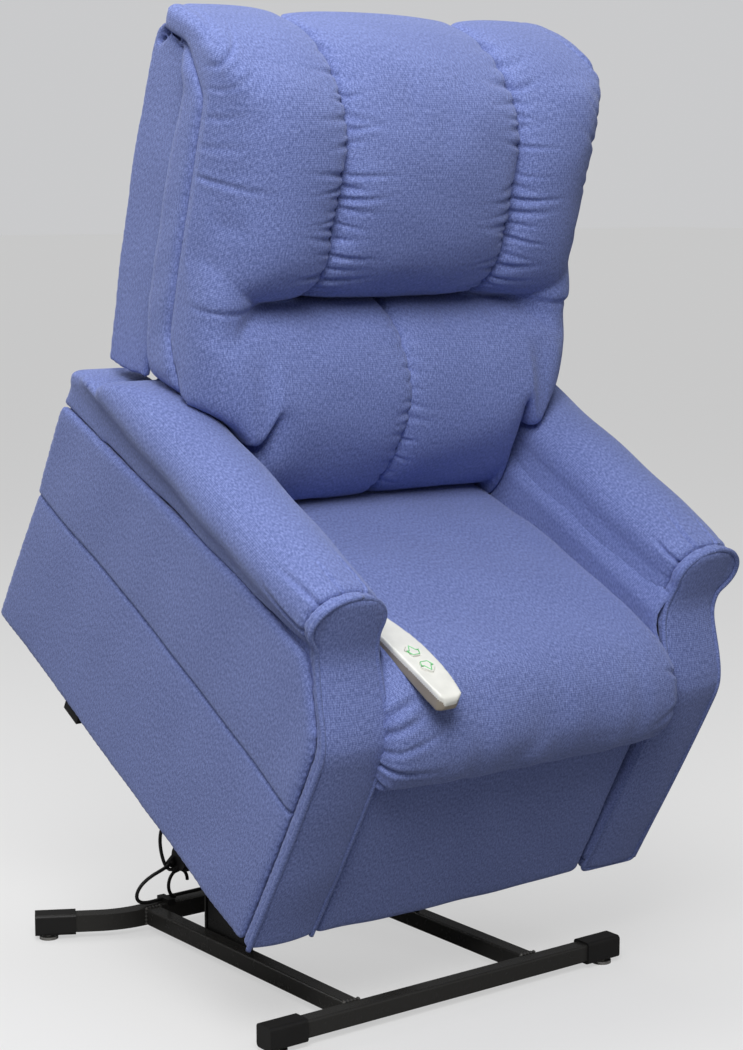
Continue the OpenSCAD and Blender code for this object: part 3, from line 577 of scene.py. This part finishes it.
def side_shape(p, n):
    """The outer side: a long seam with the upper part standing slightly proud of the lower."""
    x, u, v = p.T
    along = np.clip((u - side_lo[1]) / (side_hi[1] - side_lo[1]), 0, 1)
    d = v - LOW_SEAM_V - LOW_SEAM_ARCH * np.sin(math.pi * along)
    outer = np.clip(n[:, 0] * np.sign(x), 0, 1)
    step = 0.0035 / (1 + np.exp(-d / 0.0015))
    puff = 0.004 * (1 - np.exp(-np.abs(d) / 0.05)) + 0.0016 * ripple(u + 0.4 * v, 11, 5, 0.15, 0.5)
    groove = -0.0045 * gauss(d + 0.003, 0.0035)
    return outer * (step + puff + groove)


def arm_shape(p, n):
    """The arm roll: gathers behind the arm front, and a crown that rises quickly behind them."""
    x, u, v = p.T
    around = np.arctan2(v - ROLL_Z, np.abs(x) - ROLL_X) * ROLL_RADIUS
    back_of = np.clip(u - (arm_lo[1] + 0.022), 0, 1)
    off = wrinkles(around, back_of, 5, -0.06, 0.16, 0.036, 0.045, 0.0046, 0.0070, 0.15)
    off += 0.006 * (1 - np.exp(-back_of / 0.03)) * np.clip((v - arm_lo[2]) / 0.1, 0, 1)
    off += 0.0016 * ripple(u + 0.3 * np.abs(x), 12, 5, 0.12, 0.4)
    return off


def arm_front_shape(p, n):
    """The arm front: crowned across its width."""
    x, u, v = p.T
    face = np.clip(-n[:, 1], 0, 1)
    mid = (front_lo[0] + front_hi[0]) / 2
    across = np.clip(1 - ((np.abs(x) - mid + 0.013) / 0.060) ** 2, 0, 1)
    return face * (0.006 * across + 0.0009 * ripple(v, 4, 4, 0.1, 0.3))


for s, side in ((-1, "left"), (1, "right")):
    soft(f"cover_side_{side}", f"side_panel_{side}", "chair", side_shape, rounds=3)
    soft(f"cover_arm_{side}", f"arm_pad_{side}", "chair", arm_shape, voxel=0.005, rounds=12, grow=0.001)
    soft(f"cover_arm_front_{side}", f"arm_front_{side}", "chair", arm_front_shape, voxel=0.005, rounds=6)


def front_edge_path(node):
    """The sharp outline of a node's forward face, as an ordered run of chair-frame points."""
    bm = bmesh.new()
    bm.from_mesh(NODES[node].data)
    bmesh.ops.remove_doubles(bm, verts=bm.verts, dist=2e-5)
    bm.normal_update()
    rot = R_CHAIR.to_3x3().inverted()
    keep = []
    for e in bm.edges:
        if len(e.link_faces) != 2:
            continue
        a, b = [(rot @ f.normal) for f in e.link_faces]
        fa, fb = a.y < -0.35 and abs(a.x) < 0.3, b.y < -0.35 and abs(b.x) < 0.3
        if fa != fb and a.dot(b) < 0.75:
            keep.append(e)
    nbr = {}
    for e in keep:
        for v, w in ((e.verts[0], e.verts[1]), (e.verts[1], e.verts[0])):
            nbr.setdefault(v, []).append(w)
    # walk the chain from its lowest loose end
    start = min((v for v in nbr if len(nbr[v]) == 1), key=lambda v: (rot @ v.co).z, default=next(iter(nbr)))
    run, seen = [start], {start}
    while True:
        nxt = [w for w in nbr[run[-1]] if w not in seen]
        if not nxt:
            break
        run.append(nxt[0])
        seen.add(nxt[0])
    pts = to_local(np.array([v.co for v in run], float), CHAIR)
    bm.free()
    return pts


def resample(pts, step, smooth_rounds=0):
    """Evenly spaced points along a run of points, with the bends between them softened."""
    pts = np.array(pts, float)
    d = np.concatenate([[0], np.cumsum(np.linalg.norm(np.diff(pts, axis=0), axis=1))])
    k = max(2, int(d[-1] / step))
    t = np.linspace(0, d[-1], k)
    out = np.stack([np.interp(t, d, pts[:, i]) for i in range(3)], 1)
    for _ in range(smooth_rounds):
        out[1:-1] = out[1:-1] * 0.5 + (out[:-2] + out[2:]) * 0.25
    return out


WELT_R, WELT_END = 0.0042, front_lo[2] + 0.006


def to_the_floor(path):
    """Both ends of a welt carried on in their own direction down to the lower edge of the arm front."""
    ends = []
    for tip, prior in ((path[0], path[3]), (path[-1], path[-4])):
        drop = tip[2] - WELT_END
        slope = (tip - prior) / max(prior[2] - tip[2], 1e-4)
        ends.append([tip + slope * drop] if drop > 0.004 and prior[2] > tip[2] else [])
    return np.array(ends[0] + list(path) + ends[1])


for s, side in ((-1, "left"), (1, "right")):
    path = front_edge_path(f"arm_front_{side}")
    if len(path) > 10:
        path = resample(to_the_floor(path), 0.004, 6)
        mid_x = s * (front_lo[0] + front_hi[0]) / 2
        path[:, 0] += np.sign(path[:, 0] - mid_x) * -0.0022
        path[:, 1] += 0.001
        sweep(f"welt_arm_{side}", path, WELT_R, WELT_FABRIC, "chair", CHAIR)


def back_edge(node):
    """Rear edge of an arm front at a height, read from its mesh: a function of v in the chair frame."""
    co = to_local(verts_of(NODES[node].data), CHAIR)
    steps = np.linspace(front_lo[2] + 0.01, front_hi[2] - 0.08, 30)
    rows = [co[np.abs(co[:, 2] - v) < 0.016] for v in steps]
    rear = [c[:, 1].max() if len(c) else np.nan for c in rows]
    ok = [i for i, r in enumerate(rear) if not math.isnan(r)]
    return lambda v: float(np.interp(v, steps[ok], np.array(rear)[ok]))


BEHIND_FRONT = back_edge("arm_front_right")
SHEET_LOW, SHEET_HIGH = side_lo[2] + 0.024, arm_lo[2] + 0.075
arm_frame_lo, arm_frame_hi = lbox("arm_frame_right", CHAIR)
INNER_X = min(ARM_IN - 0.0034, arm_frame_lo[0] - 0.0022)
LEAN_FROM, LEAN = max(arm_lo[2], arm_frame_hi[2]) + 0.006, 0.032
SHEET_REAR, SHEET_THICK = 0.715, 0.0015


def inner_arm(s):
    """Fabric from the seat up to the roll on the arm's inner side."""
    def fn(a, b):
        v = SHEET_LOW + b * (SHEET_HIGH - SHEET_LOW)
        u0 = BEHIND_FRONT(v) - 0.020
        lean = LEAN * np.clip((v - LEAN_FROM) / 0.055, 0, 1)
        return (s * (INNER_X + lean), u0 + a * (SHEET_REAR - u0), v)
    return fn


def outer_neck(s):
    """Fabric just inside the side panel's face that closes the neck under the arm roll at its front."""
    def fn(a, b):
        v = side_hi[2] - 0.10 + b * 0.16
        u0 = BEHIND_FRONT(v) - 0.018
        return (s * (side_hi[0] - 0.0085), u0 + a * 0.26, v)
    return fn


for s, side in ((-1, "left"), (1, "right")):
    grid_sheet(f"cover_inner_arm_{side}", inner_arm(s), 60, 60, FABRIC, "chair", thick=SHEET_THICK)
    grid_sheet(f"cover_arm_neck_{side}", outer_neck(s), 30, 20, FABRIC, "chair", thick=SHEET_THICK)

# ---------------------------------------------------------------- seat and footrest
SEAT_CAP = 0.010
NOSE_CENTRE, NOSE_RADIUS = 0.045, 0.075


def held_base(p):
    """The underside and the rear of the seat cushion rest on the deck and stay."""
    return (p[:, 2] < seat_lo[2] + 0.012) | (p[:, 1] > seat_hi[1] - 0.03)


def seat_shape(p, n):
    """The seat: crowned, full at the nose, gathered at both front corners."""
    x, u, v = p.T
    half = seat_hi[0]
    top, front, flank = np.clip(n[:, 2], 0, 1), np.clip(-n[:, 1], 0, 1), np.abs(n[:, 0])
    across = 1 - np.clip(np.abs(x) / half, 0, 1) ** 4
    off = 0.012 * top * across * np.clip(1 - ((u - 0.24) / 0.42) ** 2, 0, 1)
    off += 0.009 * front * across + 0.004 * flank
    # gathers run round the nose from each front corner
    edge = np.clip(half - np.abs(x), 0, 1)
    round_nose = np.arctan2(v - seat_lo[2] - NOSE_CENTRE, NOSE_CENTRE - u) * NOSE_RADIUS
    near_front = 1 / (1 + np.exp((u - 0.075) / 0.014))
    off += near_front * np.where(
        x < 0,
        wrinkles(round_nose, edge, 31, -0.045, 0.11, 0.027, 0.046, 0.0050, 0.0085, 0.3),
        wrinkles(round_nose, edge, 32, -0.045, 0.09, 0.034, 0.030, 0.0050, 0.0050, 0.3),
    )
    off += 0.0010 * front * ripple(x, 3, 5, 0.05, 0.16)
    off += 0.0018 * top * ripple(u + 0.35 * x, 8, 5, 0.12, 0.45)
    return off


soft("cover_seat", "seat_cushion", "chair", seat_shape, rounds=26, grow=0.002, cap=SEAT_CAP, hold=held_base)

# how far the footrest's fabric is turned over the edges of its board
LIP_DEPTH = lbox("footrest_board", CHAIR)[1][1] - foot_hi[1] - 0.001


def foot_shape(p, n):
    """The footrest: a lower edge that hangs a little, and fabric turned over the board behind."""
    x, u, v = p.T
    front = np.clip(-n[:, 1], 0, 1)
    off = front * (0.004 + 0.0012 * ripple(x + 0.5 * v, 21, 5, 0.08, 0.3))
    sag = -0.006 * (1 - (x / foot_hi[0]) ** 2) * np.clip(1 - v / 0.06, 0, 1)
    vec = np.zeros_like(p)
    vec[:, 2] = sag
    inset = np.minimum(foot_hi[0] - np.abs(x), np.minimum(foot_hi[2] - v, v - foot_lo[2]))
    lip = np.clip(1 - inset / 0.0055, 0, 1) * np.clip((u - foot_hi[1] + 0.010) / 0.006, 0, 1)
    vec[:, 1] = LIP_DEPTH * lip
    return off, vec


soft("cover_footrest", "footrest_pad", "footrest_panel", foot_shape, rounds=8)


# ---------------------------------------------------------------- back
CREASE_W = (lbox("back_pad_right", BACK)[0][2] + lum_hi[2]) / 2
MERGE_FROM, MERGE_TO = 0.62 * BACK_X, 0.90 * BACK_X


def merge_share(x):
    """0 where the crease between pad and lumbar stays open, 1 where the two are one face."""
    t = np.clip((x - MERGE_FROM) / (MERGE_TO - MERGE_FROM), 0, 1)
    return t * t * (3 - 2 * t)


def crease_filler(s, side):
    """Closed block in the crease between outer pad and lumbar, sinking away towards the middle."""
    reach, probe = 0.055, 0.006
    up = to_local(verts_of(remeshed(f"back_pad_{side}", probe)), BACK)
    low = to_local(verts_of(remeshed(f"lumbar_pad_{side}", probe)), BACK)

    def face(pts, x, w):
        near = (np.abs(np.abs(pts[:, 0]) - x) < 1.2 * probe) & (np.abs(pts[:, 2] - w) < 1.5 * probe)
        return pts[near, 1].min() if near.any() else 0.0

    rear = min(up[:, 1].max(), low[:, 1].max()) - 0.006
    edge = np.abs(up[:, 0]).max() - 0.5 * probe
    xs, ws = np.linspace(MERGE_FROM, edge, 14), np.linspace(CREASE_W - reach, CREASE_W + reach, 9)
    front = []
    for x in xs:
        y0, y1 = face(low, x, ws[0]), face(up, x, ws[-1])
        sink = 0.004 + 0.075 * (1 - float(merge_share(np.array(x))))
        front.append([min(y0 + (y1 - y0) * j / 8 + sink, rear - 0.008) for j in range(9)])
    co = [(s * x, y, w) for x, row in zip(xs, front) for w, y in zip(ws, row)]
    co += [(s * x, rear, w) for x in xs for w in ws]
    n, k, faces = len(xs), 9, []
    for i in range(n - 1):
        for j in range(k - 1):
            q = [i * k + j, (i + 1) * k + j, (i + 1) * k + j + 1, i * k + j + 1]
            faces += [q, [n * k + a for a in reversed(q)]]
    rim = [i * k for i in range(n)] + [(n - 1) * k + j for j in range(1, k)]
    rim += [i * k + k - 1 for i in range(n - 2, -1, -1)] + [j for j in range(k - 2, 0, -1)]
    faces += [[rim[i], rim[i - 1], n * k + rim[i - 1], n * k + rim[i]] for i in range(len(rim))]
    me = bpy.data.meshes.new("filler")
    me.from_pydata([tuple(v) for v in to_world(np.array(co, float), BACK)], [], faces)
    bm = bmesh.new()
    bm.from_mesh(me)
    bmesh.ops.recalc_face_normals(bm, faces=bm.faces)
    bm.to_mesh(me)
    bm.free()
    return me


def pad_shape(cx, half, seed):
    """Crowned across its width; gathers along the channel seams, the outer band seam and the lower seam."""
    outer = abs(cx) > 0.01

    def fn(p, n):
        x, y, w = p.T
        d = (x - cx) / half
        face = np.clip(-n[:, 1], 0, 1) + np.clip(n[:, 2], 0, 1) * 0.6
        # the outer pads stay full up to the band at their outer edge
        side = np.sign(cx) * d if outer else np.abs(d)
        crown = 1 - np.clip(np.where(side < 0, -side, side * (0.75 if outer else 1)), 0, 1) ** 2.2
        off = 0.014 * face * crown
        for s in (-1, 1):
            away = np.clip(half - s * (x - cx), 0, 1)
            on_band = outer and s * cx > 0
            if on_band:
                fan = 0.9 * np.clip((w - 0.20) / 0.19, 0, 1)
                fanned = w - fan * away
                off += face * wrinkles(fanned, away, seed + 7, 0.215, 0.40, 0.030, 0.050, 0.0050, 0.0085, 0.1)
                off += -0.0028 * face * gauss(away - 0.010, 0.0035)
            else:
                off += face * wrinkles(w, away, seed + s, 0.035, 0.25, 0.018, 0.040, 0.0044, 0.0078, 0.2)
                off += face * wrinkles(w, away, seed + s + 2, 0.29, 0.43, 0.018, 0.032, 0.0044, 0.0060, 0.2)
        bottom = np.clip(w - pad_lo[2], 0, 1)
        off += face * wrinkles(x, bottom, seed + 3, cx - half, cx + half, 0.055, 0.026, 0.006, 0.0022, 0.3)
        off += 0.0018 * face * ripple(w + 0.3 * x, seed + 5, 5, 0.09, 0.3)
        return off
    return fn


PAD_CAP = 0.012


def held_rear(p):
    """The rear of a back pad is sewn to the frame and stays."""
    return p[:, 1] > p[:, 1].min() * 0.25


side_c = (CHANNEL_X + BACK_X) / 2
side_h = (BACK_X - CHANNEL_X) / 2
PAD = dict(m=BACK, voxel=0.005, rounds=20, grow=0.002, cap=PAD_CAP, hold=held_rear)
soft("cover_back_center", "back_pad_center", "back", pad_shape(0, CHANNEL_X, 31), **PAD)

WING_FROM, WING_W, WING_DROP_MAX = 0.240, -0.02, 0.046


def wing_drop(x, w):
    """How far the lower outer part of the back sinks onto the round arm beside it."""
    roll = (ARM_OUT - ARM_IN) / 2
    drop = roll - np.sqrt(np.maximum(roll ** 2 - (x - ROLL_X) ** 2, 0)) + 0.008
    on_wing = np.clip((x - WING_FROM) / 0.03, 0, 1)
    share = on_wing * on_wing * (3 - 2 * on_wing) * np.clip((WING_W - w) / 0.07, 0, 1)
    return np.minimum(drop, WING_DROP_MAX) * share


def lumbar_shape(seed):
    """The lumbar pad: crowned in height, gathered along the middle seam and under the upper pads."""
    def fn(p, n):
        x, y, w = p.T
        face = np.clip(-n[:, 1], 0, 1)
        rise = np.clip((w - lum_lo[2]) / (lum_hi[2] - lum_lo[2]), 0, 1)
        inner, under = np.abs(x), np.clip(lum_hi[2] - w, 0, 1)
        off = face * 0.010 * np.sin(math.pi * rise)
        off += face * wrinkles(w, inner, seed, -0.28, 0.02, 0.026, 0.026, 0.0046, 0.0050, 0.25)
        off += face * wrinkles(x, under, seed + 1, -BACK_X, BACK_X, 0.050, 0.024, 0.006, 0.0022, 0.3)
        off += 0.0022 * face * ripple(w - 0.4 * inner, seed + 2, 5, 0.08, 0.3)
        return off
    return fn


def outer_shape(s, seed):
    """Upper outer pad and lumbar pad as one sewn cover, with a shallow seam where their crease ends."""
    upper, lower = pad_shape(s * side_c, side_h, seed), lumbar_shape(seed + 20)

    def fn(p, n):
        x, y, w = p.T
        above = 1 / (1 + np.exp(-(w - CREASE_W) / 0.006))
        off = above * upper(p, n) + (1 - above) * lower(p, n)
        off -= 0.0042 * merge_share(np.abs(x)) * gauss(w - CREASE_W, 0.0045) * np.clip(-n[:, 1], 0, 1)
        vec = np.zeros_like(p)
        vec[:, 2] = -wing_drop(np.abs(x), w)
        return off, vec
    return fn


for s, side in ((-1, "left"), (1, "right")):
    pair = (f"back_pad_{side}", f"lumbar_pad_{side}")
    cover = outer_shape(s, 41 if s < 0 else 51)
    soft(f"cover_back_{side}", pair, "back", cover, fillers=[crease_filler(s, side)], **PAD)


def core_shape(p, n):
    """The sides of the back, sinking onto the arms at the wings."""
    x, y, w = p.T
    vec = np.zeros_like(p)
    vec[:, 2] = -wing_drop(np.abs(x), w)
    return 0.001 * ripple(w + y, 71, 5, 0.06, 0.2) + 0.002, vec


soft("cover_back_sides", "back_core", "back", core_shape, BACK, voxel=0.007, rounds=6)


def shell_shape(p, n):
    """The rear cover: slightly crowned between two upright seams."""
    x, y, w = p.T
    rear = np.clip(n[:, 1], 0, 1)
    off = 0.006 * rear * np.clip(1 - (x / 0.34) ** 2, 0, 1)
    off += 0.0012 * ripple(w + 0.5 * x, 77, 5, 0.15, 0.5)
    # the seams of the rear cover run down near both edges
    return off - 0.0024 * rear * gauss(np.abs(x) - (shell_hi[0] - 0.022), 0.0035)


def block(lo, hi, m):
    """A closed box filler in a local frame."""
    bm = bmesh.new()
    bmesh.ops.create_cube(bm, size=1.0)
    me = bpy.data.meshes.new("block")
    bm.to_mesh(me)
    bm.free()
    lo, hi = np.array(lo), np.array(hi)
    set_verts(me, to_world(lo + (verts_of(me) + 0.5) * (hi - lo), m))
    return me


# the ends of the shell's top edge are closed
END_X = (shell_hi[0] - 0.020, shell_hi[0] - 0.002)
END_LO = (shell_lo[1] + 0.012, shell_hi[2] - 0.078)
END_HI = (shell_lo[1] + 0.090, shell_hi[2] - 0.030)
shell_ends = []
for s in (-1, 1):
    near, far = sorted(s * x for x in END_X)
    shell_ends.append(block((near, *END_LO), (far, *END_HI), BACK))
soft("cover_back_shell", "back_shell", "back", shell_shape, BACK, voxel=0.005, rounds=6, fillers=shell_ends)


def rear_panel_shape(p, n):
    """Flat stretched fabric with faint waves."""
    return 0.0012 * ripple(p[:, 0] + p[:, 2], 91, 5, 0.1, 0.4)


soft("cover_rear_panel", "rear_panel", "chair", rear_panel_shape, voxel=0.005, rounds=2)

# ---------------------------------------------------------------- flap behind, between seat box and back
FLAP_X, FLAP_SLACK, FLAP_FOLD = seat_lo[0] + 0.005, 0.010, 0.0035
flap_foot = np.array([0.0, panel_lo[1] - 0.004, panel_hi[2] - 0.020])
inside_shell = np.array([[0.0, shell_lo[1] + 0.043, shell_lo[2] + 0.020]])
flap_head = to_local(to_world(inside_shell, BACK), CHAIR)[0]


def flap(a, b):
    """Slack fabric from the rear panel's top edge up into the shell, with shallow upright folds."""
    x = FLAP_X * (1 - 2 * a)
    mid = flap_foot + (flap_head - flap_foot) * b
    loose = math.sin(math.pi * b)
    slack = loose * (FLAP_SLACK + FLAP_FOLD * math.sin(9.0 * a * math.pi + 2.0 * b))
    return (x, mid[1] + slack, mid[2])


rear_flap = grid_sheet("cover_rear_flap", flap, 70, 24, FABRIC, None, thick=0.0022)
foot_w, head_w = to_world(np.array([flap_foot, flap_head]), CHAIR)
tuple(foot_w)
tuple(head_w)
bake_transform(rear_flap)

# ---------------------------------------------------------------- apron round the legs of the back frame
frame_lo, frame_hi = lbox("back_frame", BACK)
APRON_X = lbox("back_brackets", BACK)[1][0] + 0.0014
APRON_FRONT, APRON_REAR = frame_lo[1] - 0.0016, frame_hi[1] + 0.004
APRON_LOW, APRON_HIGH = frame_lo[2] - 0.003, -0.100


def apron(a, b):
    """Three sides round the frame: rearward along each flank and straight across the front."""
    depth = APRON_REAR - APRON_FRONT
    s = a * (2 * depth + 2 * APRON_X)
    w = APRON_LOW + b * (APRON_HIGH - APRON_LOW)
    if s < depth:
        return (-APRON_X, APRON_REAR - s, w)
    if s > depth + 2 * APRON_X:
        return (APRON_X, APRON_FRONT + s - depth - 2 * APRON_X, w)
    return (s - depth - APRON_X, APRON_FRONT, w)


grid_sheet("cover_back_apron", apron, 120, 24, FABRIC, "back", BACK, thick=SHEET_THICK)

# ---------------------------------------------------------------- handset trim and cord
PARTING_STEP, IVORY_DEPTH = 0.006, 0.0075
KEY_REACH = 0.017


def handset():
    """The moulded handset: softened edges, ivory above and taupe below the parting line."""
    me = remeshed("handset_body", 0.0017)
    co = verts_of(me)
    keys = [(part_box(n)[0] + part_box(n)[1]) / 2 for n in ("button_up", "button_down")]
    away = np.min([np.linalg.norm(co - np.array(k), axis=1) for k in keys], axis=0)
    # the pockets of the keys keep their shape
    co = relax(co, edges_of(me), 6, np.clip((away - KEY_REACH) / 0.006, 0, 1))
    set_verts(me, co)
    box_uv(me, CHAIR)
    ob = link("cover_handset", me, IVORY, "chair")
    me.materials.append(UNDERSIDE)
    local = to_local(co, CHAIR)
    # the ivory shell is a few millimetres deep all along the curved top
    along = np.round(local[:, 1] / PARTING_STEP).astype(int)
    crest = {a: local[along == a, 2].max() for a in set(along)}
    depth = np.array([crest[a] for a in along]) - local[:, 2]
    low = [np.mean([depth[v] for v in f.vertices]) > IVORY_DEPTH for f in me.polygons]
    me.polygons.foreach_set("material_index", np.array(low, np.int32))
    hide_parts("handset_body")


handset()

OUTLINE_R, OUTLINE_INSET = 0.0007, 0.0017


def top_outline(node):
    """A line just inside the outline of a key's top face, read from its mesh, in order round its middle."""
    bm = bmesh.new()
    bm.from_mesh(NODES[node].data)
    bmesh.ops.remove_doubles(bm, verts=bm.verts, dist=2e-5)
    bm.normal_update()
    up = Vector(np.array(CHAIR)[:3, 2])
    top = [v.co.copy() for v in bm.verts if any(f.normal.dot(up) > 0.95 for f in v.link_faces)]
    bm.free()
    mid = sum(top, Vector()) / len(top)
    side = Vector((1, 0, 0))
    fore = up.cross(side)
    top.sort(key=lambda c: math.atan2((c - mid).dot(fore), (c - mid).dot(side)))
    # drawn inside the top face, so that the line goes down with the key
    ring = []
    for i, c in enumerate(top):
        before, after = (c - top[i - 1]).normalized(), (top[(i + 1) % len(top)] - c).normalized()
        a, b = up.cross(before), up.cross(after)
        ring.append(c + (a + b) * (OUTLINE_INSET / (1 + a.dot(b))))
    return ring, up


for node, body in (("button_up", "up_key"), ("button_down", "down_key")):
    ring, up = top_outline(node)
    path = []
    for i, c in enumerate(ring):
        d = ring[(i + 1) % len(ring)] - c
        path += [c + d * k / 4 + up * 0.0001 for k in range(4)]
    sweep(f"outline_{node}", path, OUTLINE_R, GREEN, body, closed=True, sides=8)

hand_lo, hand_hi = lbox("handset_body", CHAIR)
hand_x = (hand_lo[0] + hand_hi[0]) / 2
cord = resample([
    (hand_x, hand_hi[1] - 0.006, hand_hi[2] - 0.012),
    (hand_x - 0.006, hand_hi[1] + 0.014, hand_hi[2] - 0.012),
    (hand_x - 0.020, hand_hi[1] + 0.034, hand_hi[2] - 0.018),
    (-INNER_X + 0.009, hand_hi[1] + 0.060, hand_hi[2] - 0.045),
    (-INNER_X + 0.005, hand_hi[1] + 0.070, seat_hi[2] - 0.08),
], 0.006, 6)
CORD_R, RELIEF_R = 0.0027, 0.0046
sweep("handset_cord", cord, CORD_R, THREAD, "chair", CHAIR, sides=12)
sweep("handset_strain_relief", cord[:4], RELIEF_R, THREAD, "chair", CHAIR, sides=12)

# ---------------------------------------------------------------- cables beside the motor
motor_lo, motor_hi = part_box("actuator_motor")
house_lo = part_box("actuator_housing")[0]
rail_lo, rail_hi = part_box("base_rails")
TUBE_TOP = rail_hi.z
rear_line = rail_hi.y
# the upright loop stays inside the lift arm, which swings down beside it
LOOP_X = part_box("lift_arm_left")[1].x + 0.009
cable_paths = {
    "cable_power": [
        (motor_lo.x + 0.012, motor_lo.y + 0.030, motor_lo.z + 0.012),
        (motor_lo.x - 0.012, motor_lo.y + 0.040, motor_lo.z - 0.004),
        (LOOP_X, rear_line + 0.022, motor_lo.z + 0.026),
        (LOOP_X, rear_line + 0.028, motor_hi.z + 0.008),
        (motor_lo.x - 0.004, rear_line + 0.032, motor_hi.z + 0.032),
        (motor_lo.x + 0.05, rear_line + 0.040, motor_hi.z + 0.038),
    ],
    "cable_handset": [
        (motor_lo.x + 0.010, motor_lo.y + 0.05, motor_lo.z + 0.022),
        (motor_lo.x - 0.022, rear_line - 0.004, motor_lo.z + 0.010),
        (rail_lo.x + 0.022, rear_line + 0.002, TUBE_TOP + 0.060),
        (rail_lo.x - 0.004, rear_line + 0.010, TUBE_TOP + 0.042),
        (rail_lo.x - 0.016, rear_line + 0.013, TUBE_TOP + 0.020),
        (rail_lo.x - 0.006, rear_line + 0.015, TUBE_TOP + 0.005),
        (rail_lo.x + 0.030, rear_line + 0.016, TUBE_TOP + 0.004),
        (motor_lo.x - 0.01, rear_line + 0.020, TUBE_TOP + 0.006),
        (house_lo.x, rear_line + 0.018, TUBE_TOP + 0.008),
    ],
}
CABLE_R, PLUG_R = 0.0032, 0.0075
for name, pts in cable_paths.items():
    path = resample(pts, 0.006, 9)
    sweep(name, path, CABLE_R, THREAD, "base", sides=12)
    sweep(name + "_plug", path[:5], PLUG_R, BLACK_PLASTIC, "base", sides=14)


BEAD_R, BEAD_RIPPLE, BEAD_SIDES = 0.0026, 0.0006, 8


def weld(name, pts):
    """A rippled weld bead along a joint."""
    path = resample(pts, 0.0016)
    bead = sweep(name, path, BEAD_R, LINK_STEEL, "base", sides=BEAD_SIDES)
    co = verts_of(bead.data)
    ring = np.arange(len(co)) // BEAD_SIDES
    co += normals_of(bead.data) * (BEAD_RIPPLE * np.sin(ring * 1.6))[:, None]
    set_verts(bead.data, co)


TUBE_W, WELD_FOOT = 0.029, TUBE_TOP - 0.027
for s, side in ((-1, "left"), (1, "right")):
    outer_x = s * rail_hi.x
    inner_x = outer_x - s * TUBE_W
    for end, y in (("front", rail_lo.y + 0.001), ("rear", rail_hi.y - 0.001)):
        corners = [(outer_x, WELD_FOOT), (outer_x, TUBE_TOP), (inner_x, TUBE_TOP), (inner_x, WELD_FOOT)]
        weld(f"weld_{end}_{side}", [(x, y, z) for x, z in corners])

# ---------------------------------------------------------------- light, floor and camera
def area(name, loc, size, energy):
    lamp = bpy.data.lights.new(name, "AREA")
    lamp.shape, lamp.size, lamp.size_y, lamp.energy = "RECTANGLE", size[0], size[1], energy
    ob = bpy.data.objects.new(name, lamp)
    ob.location = loc
    ob.rotation_mode = "QUATERNION"
    ob.rotation_quaternion = (LIT_POINT - Vector(loc)).to_track_quat("-Z", "Y")
    scene.collection.objects.link(ob)


front_lo_w, front_hi_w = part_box("base_front_tube")
front_y = (front_lo_w.y + front_hi_w.y) / 2
LIT_POINT = Vector((0, front_y + 0.28, 0.85))
area("key", (-1.9, front_y - 2.0, 3.1), (1.8, 1.8), 119)
area("fill", (2.4, front_y - 2.8, 2.4), (2.6, 2.2), 8)
area("top", (-0.2, front_y + 0.5, 3.6), (2.2, 2.2), 44)
area("rim", (-1.8, front_y + 2.6, 2.9), (1.6, 1.6), 30)
world = bpy.data.worlds.new("studio")
world.use_nodes = True
WORLD_LIGHT = 0.13
world.node_tree.nodes["Background"].inputs[0].default_value = (0.98, 0.985, 1.0, 1)
scene.world = world
scene.view_settings.view_transform = "Standard"

PALE, FLOOR_GLOW = 0.60, 0.53


def pale_floor():
    """A plain floor that is pale to the camera and darker in its bounce light."""
    bpy.ops.mesh.primitive_plane_add(size=120, location=(0, 0, 0))
    ob = bpy.context.object
    ob.name = "studio_floor"
    mat, nt, bsdf = new_mat("pale_floor")
    noise = add(nt, "ShaderNodeTexNoise", i_Scale=3.0, i_Detail=4.0)
    tone = ramp(nt, [(0.3, (0.29, 0.29, 0.29)), (0.7, (0.32, 0.32, 0.32))])
    nt.links.new(noise.outputs[0], tone.inputs[0])
    nt.links.new(tone.outputs[0], bsdf.inputs["Base Color"])
    bsdf.inputs["Roughness"].default_value = 0.8
    path = add(nt, "ShaderNodeLightPath")
    bsdf.inputs["Emission Color"].default_value = (1, 1, 1, 1)
    glow = math_node(nt, "MULTIPLY", path.outputs["Is Camera Ray"], FLOOR_GLOW)
    nt.links.new(glow, bsdf.inputs["Emission Strength"])
    ob.data.materials.append(mat)


def pale_world():
    """A backdrop that is pale to the camera and dim as a light."""
    nt = world.node_tree
    path = add(nt, "ShaderNodeLightPath")
    seen = math_node(nt, "MULTIPLY", path.outputs["Is Camera Ray"], PALE - WORLD_LIGHT)
    nt.links.new(math_node(nt, "ADD", seen, WORLD_LIGHT), nt.nodes["Background"].inputs[1])


pale_floor()
pale_world()

# the camera looks along its optical axis at a point near the middle of the chair's box
VIEW_AZ, VIEW_EL = math.radians(-37.24), math.radians(8.34)
VIEW_DISTANCE, LENS_MM = 3.601, 77.45
AIM_OFFSET = Vector((0, -0.024, -0.027))
aim = (cad_lo + cad_hi) / 2 + AIM_OFFSET
level = Vector((math.sin(VIEW_AZ), -math.cos(VIEW_AZ), 0))
towards_camera = level * math.cos(VIEW_EL) + Vector((0, 0, math.sin(VIEW_EL)))
cam_data = bpy.data.cameras.new("camera")
cam_data.lens, cam_data.sensor_width, cam_data.sensor_fit = LENS_MM, 36, "AUTO"
cam = bpy.data.objects.new("camera", cam_data)
cam.location = aim + towards_camera * VIEW_DISTANCE
cam.rotation_mode = "QUATERNION"
cam.rotation_quaternion = (-towards_camera).to_track_quat("-Z", "Y")
scene.collection.objects.link(cam)
scene.camera = cam
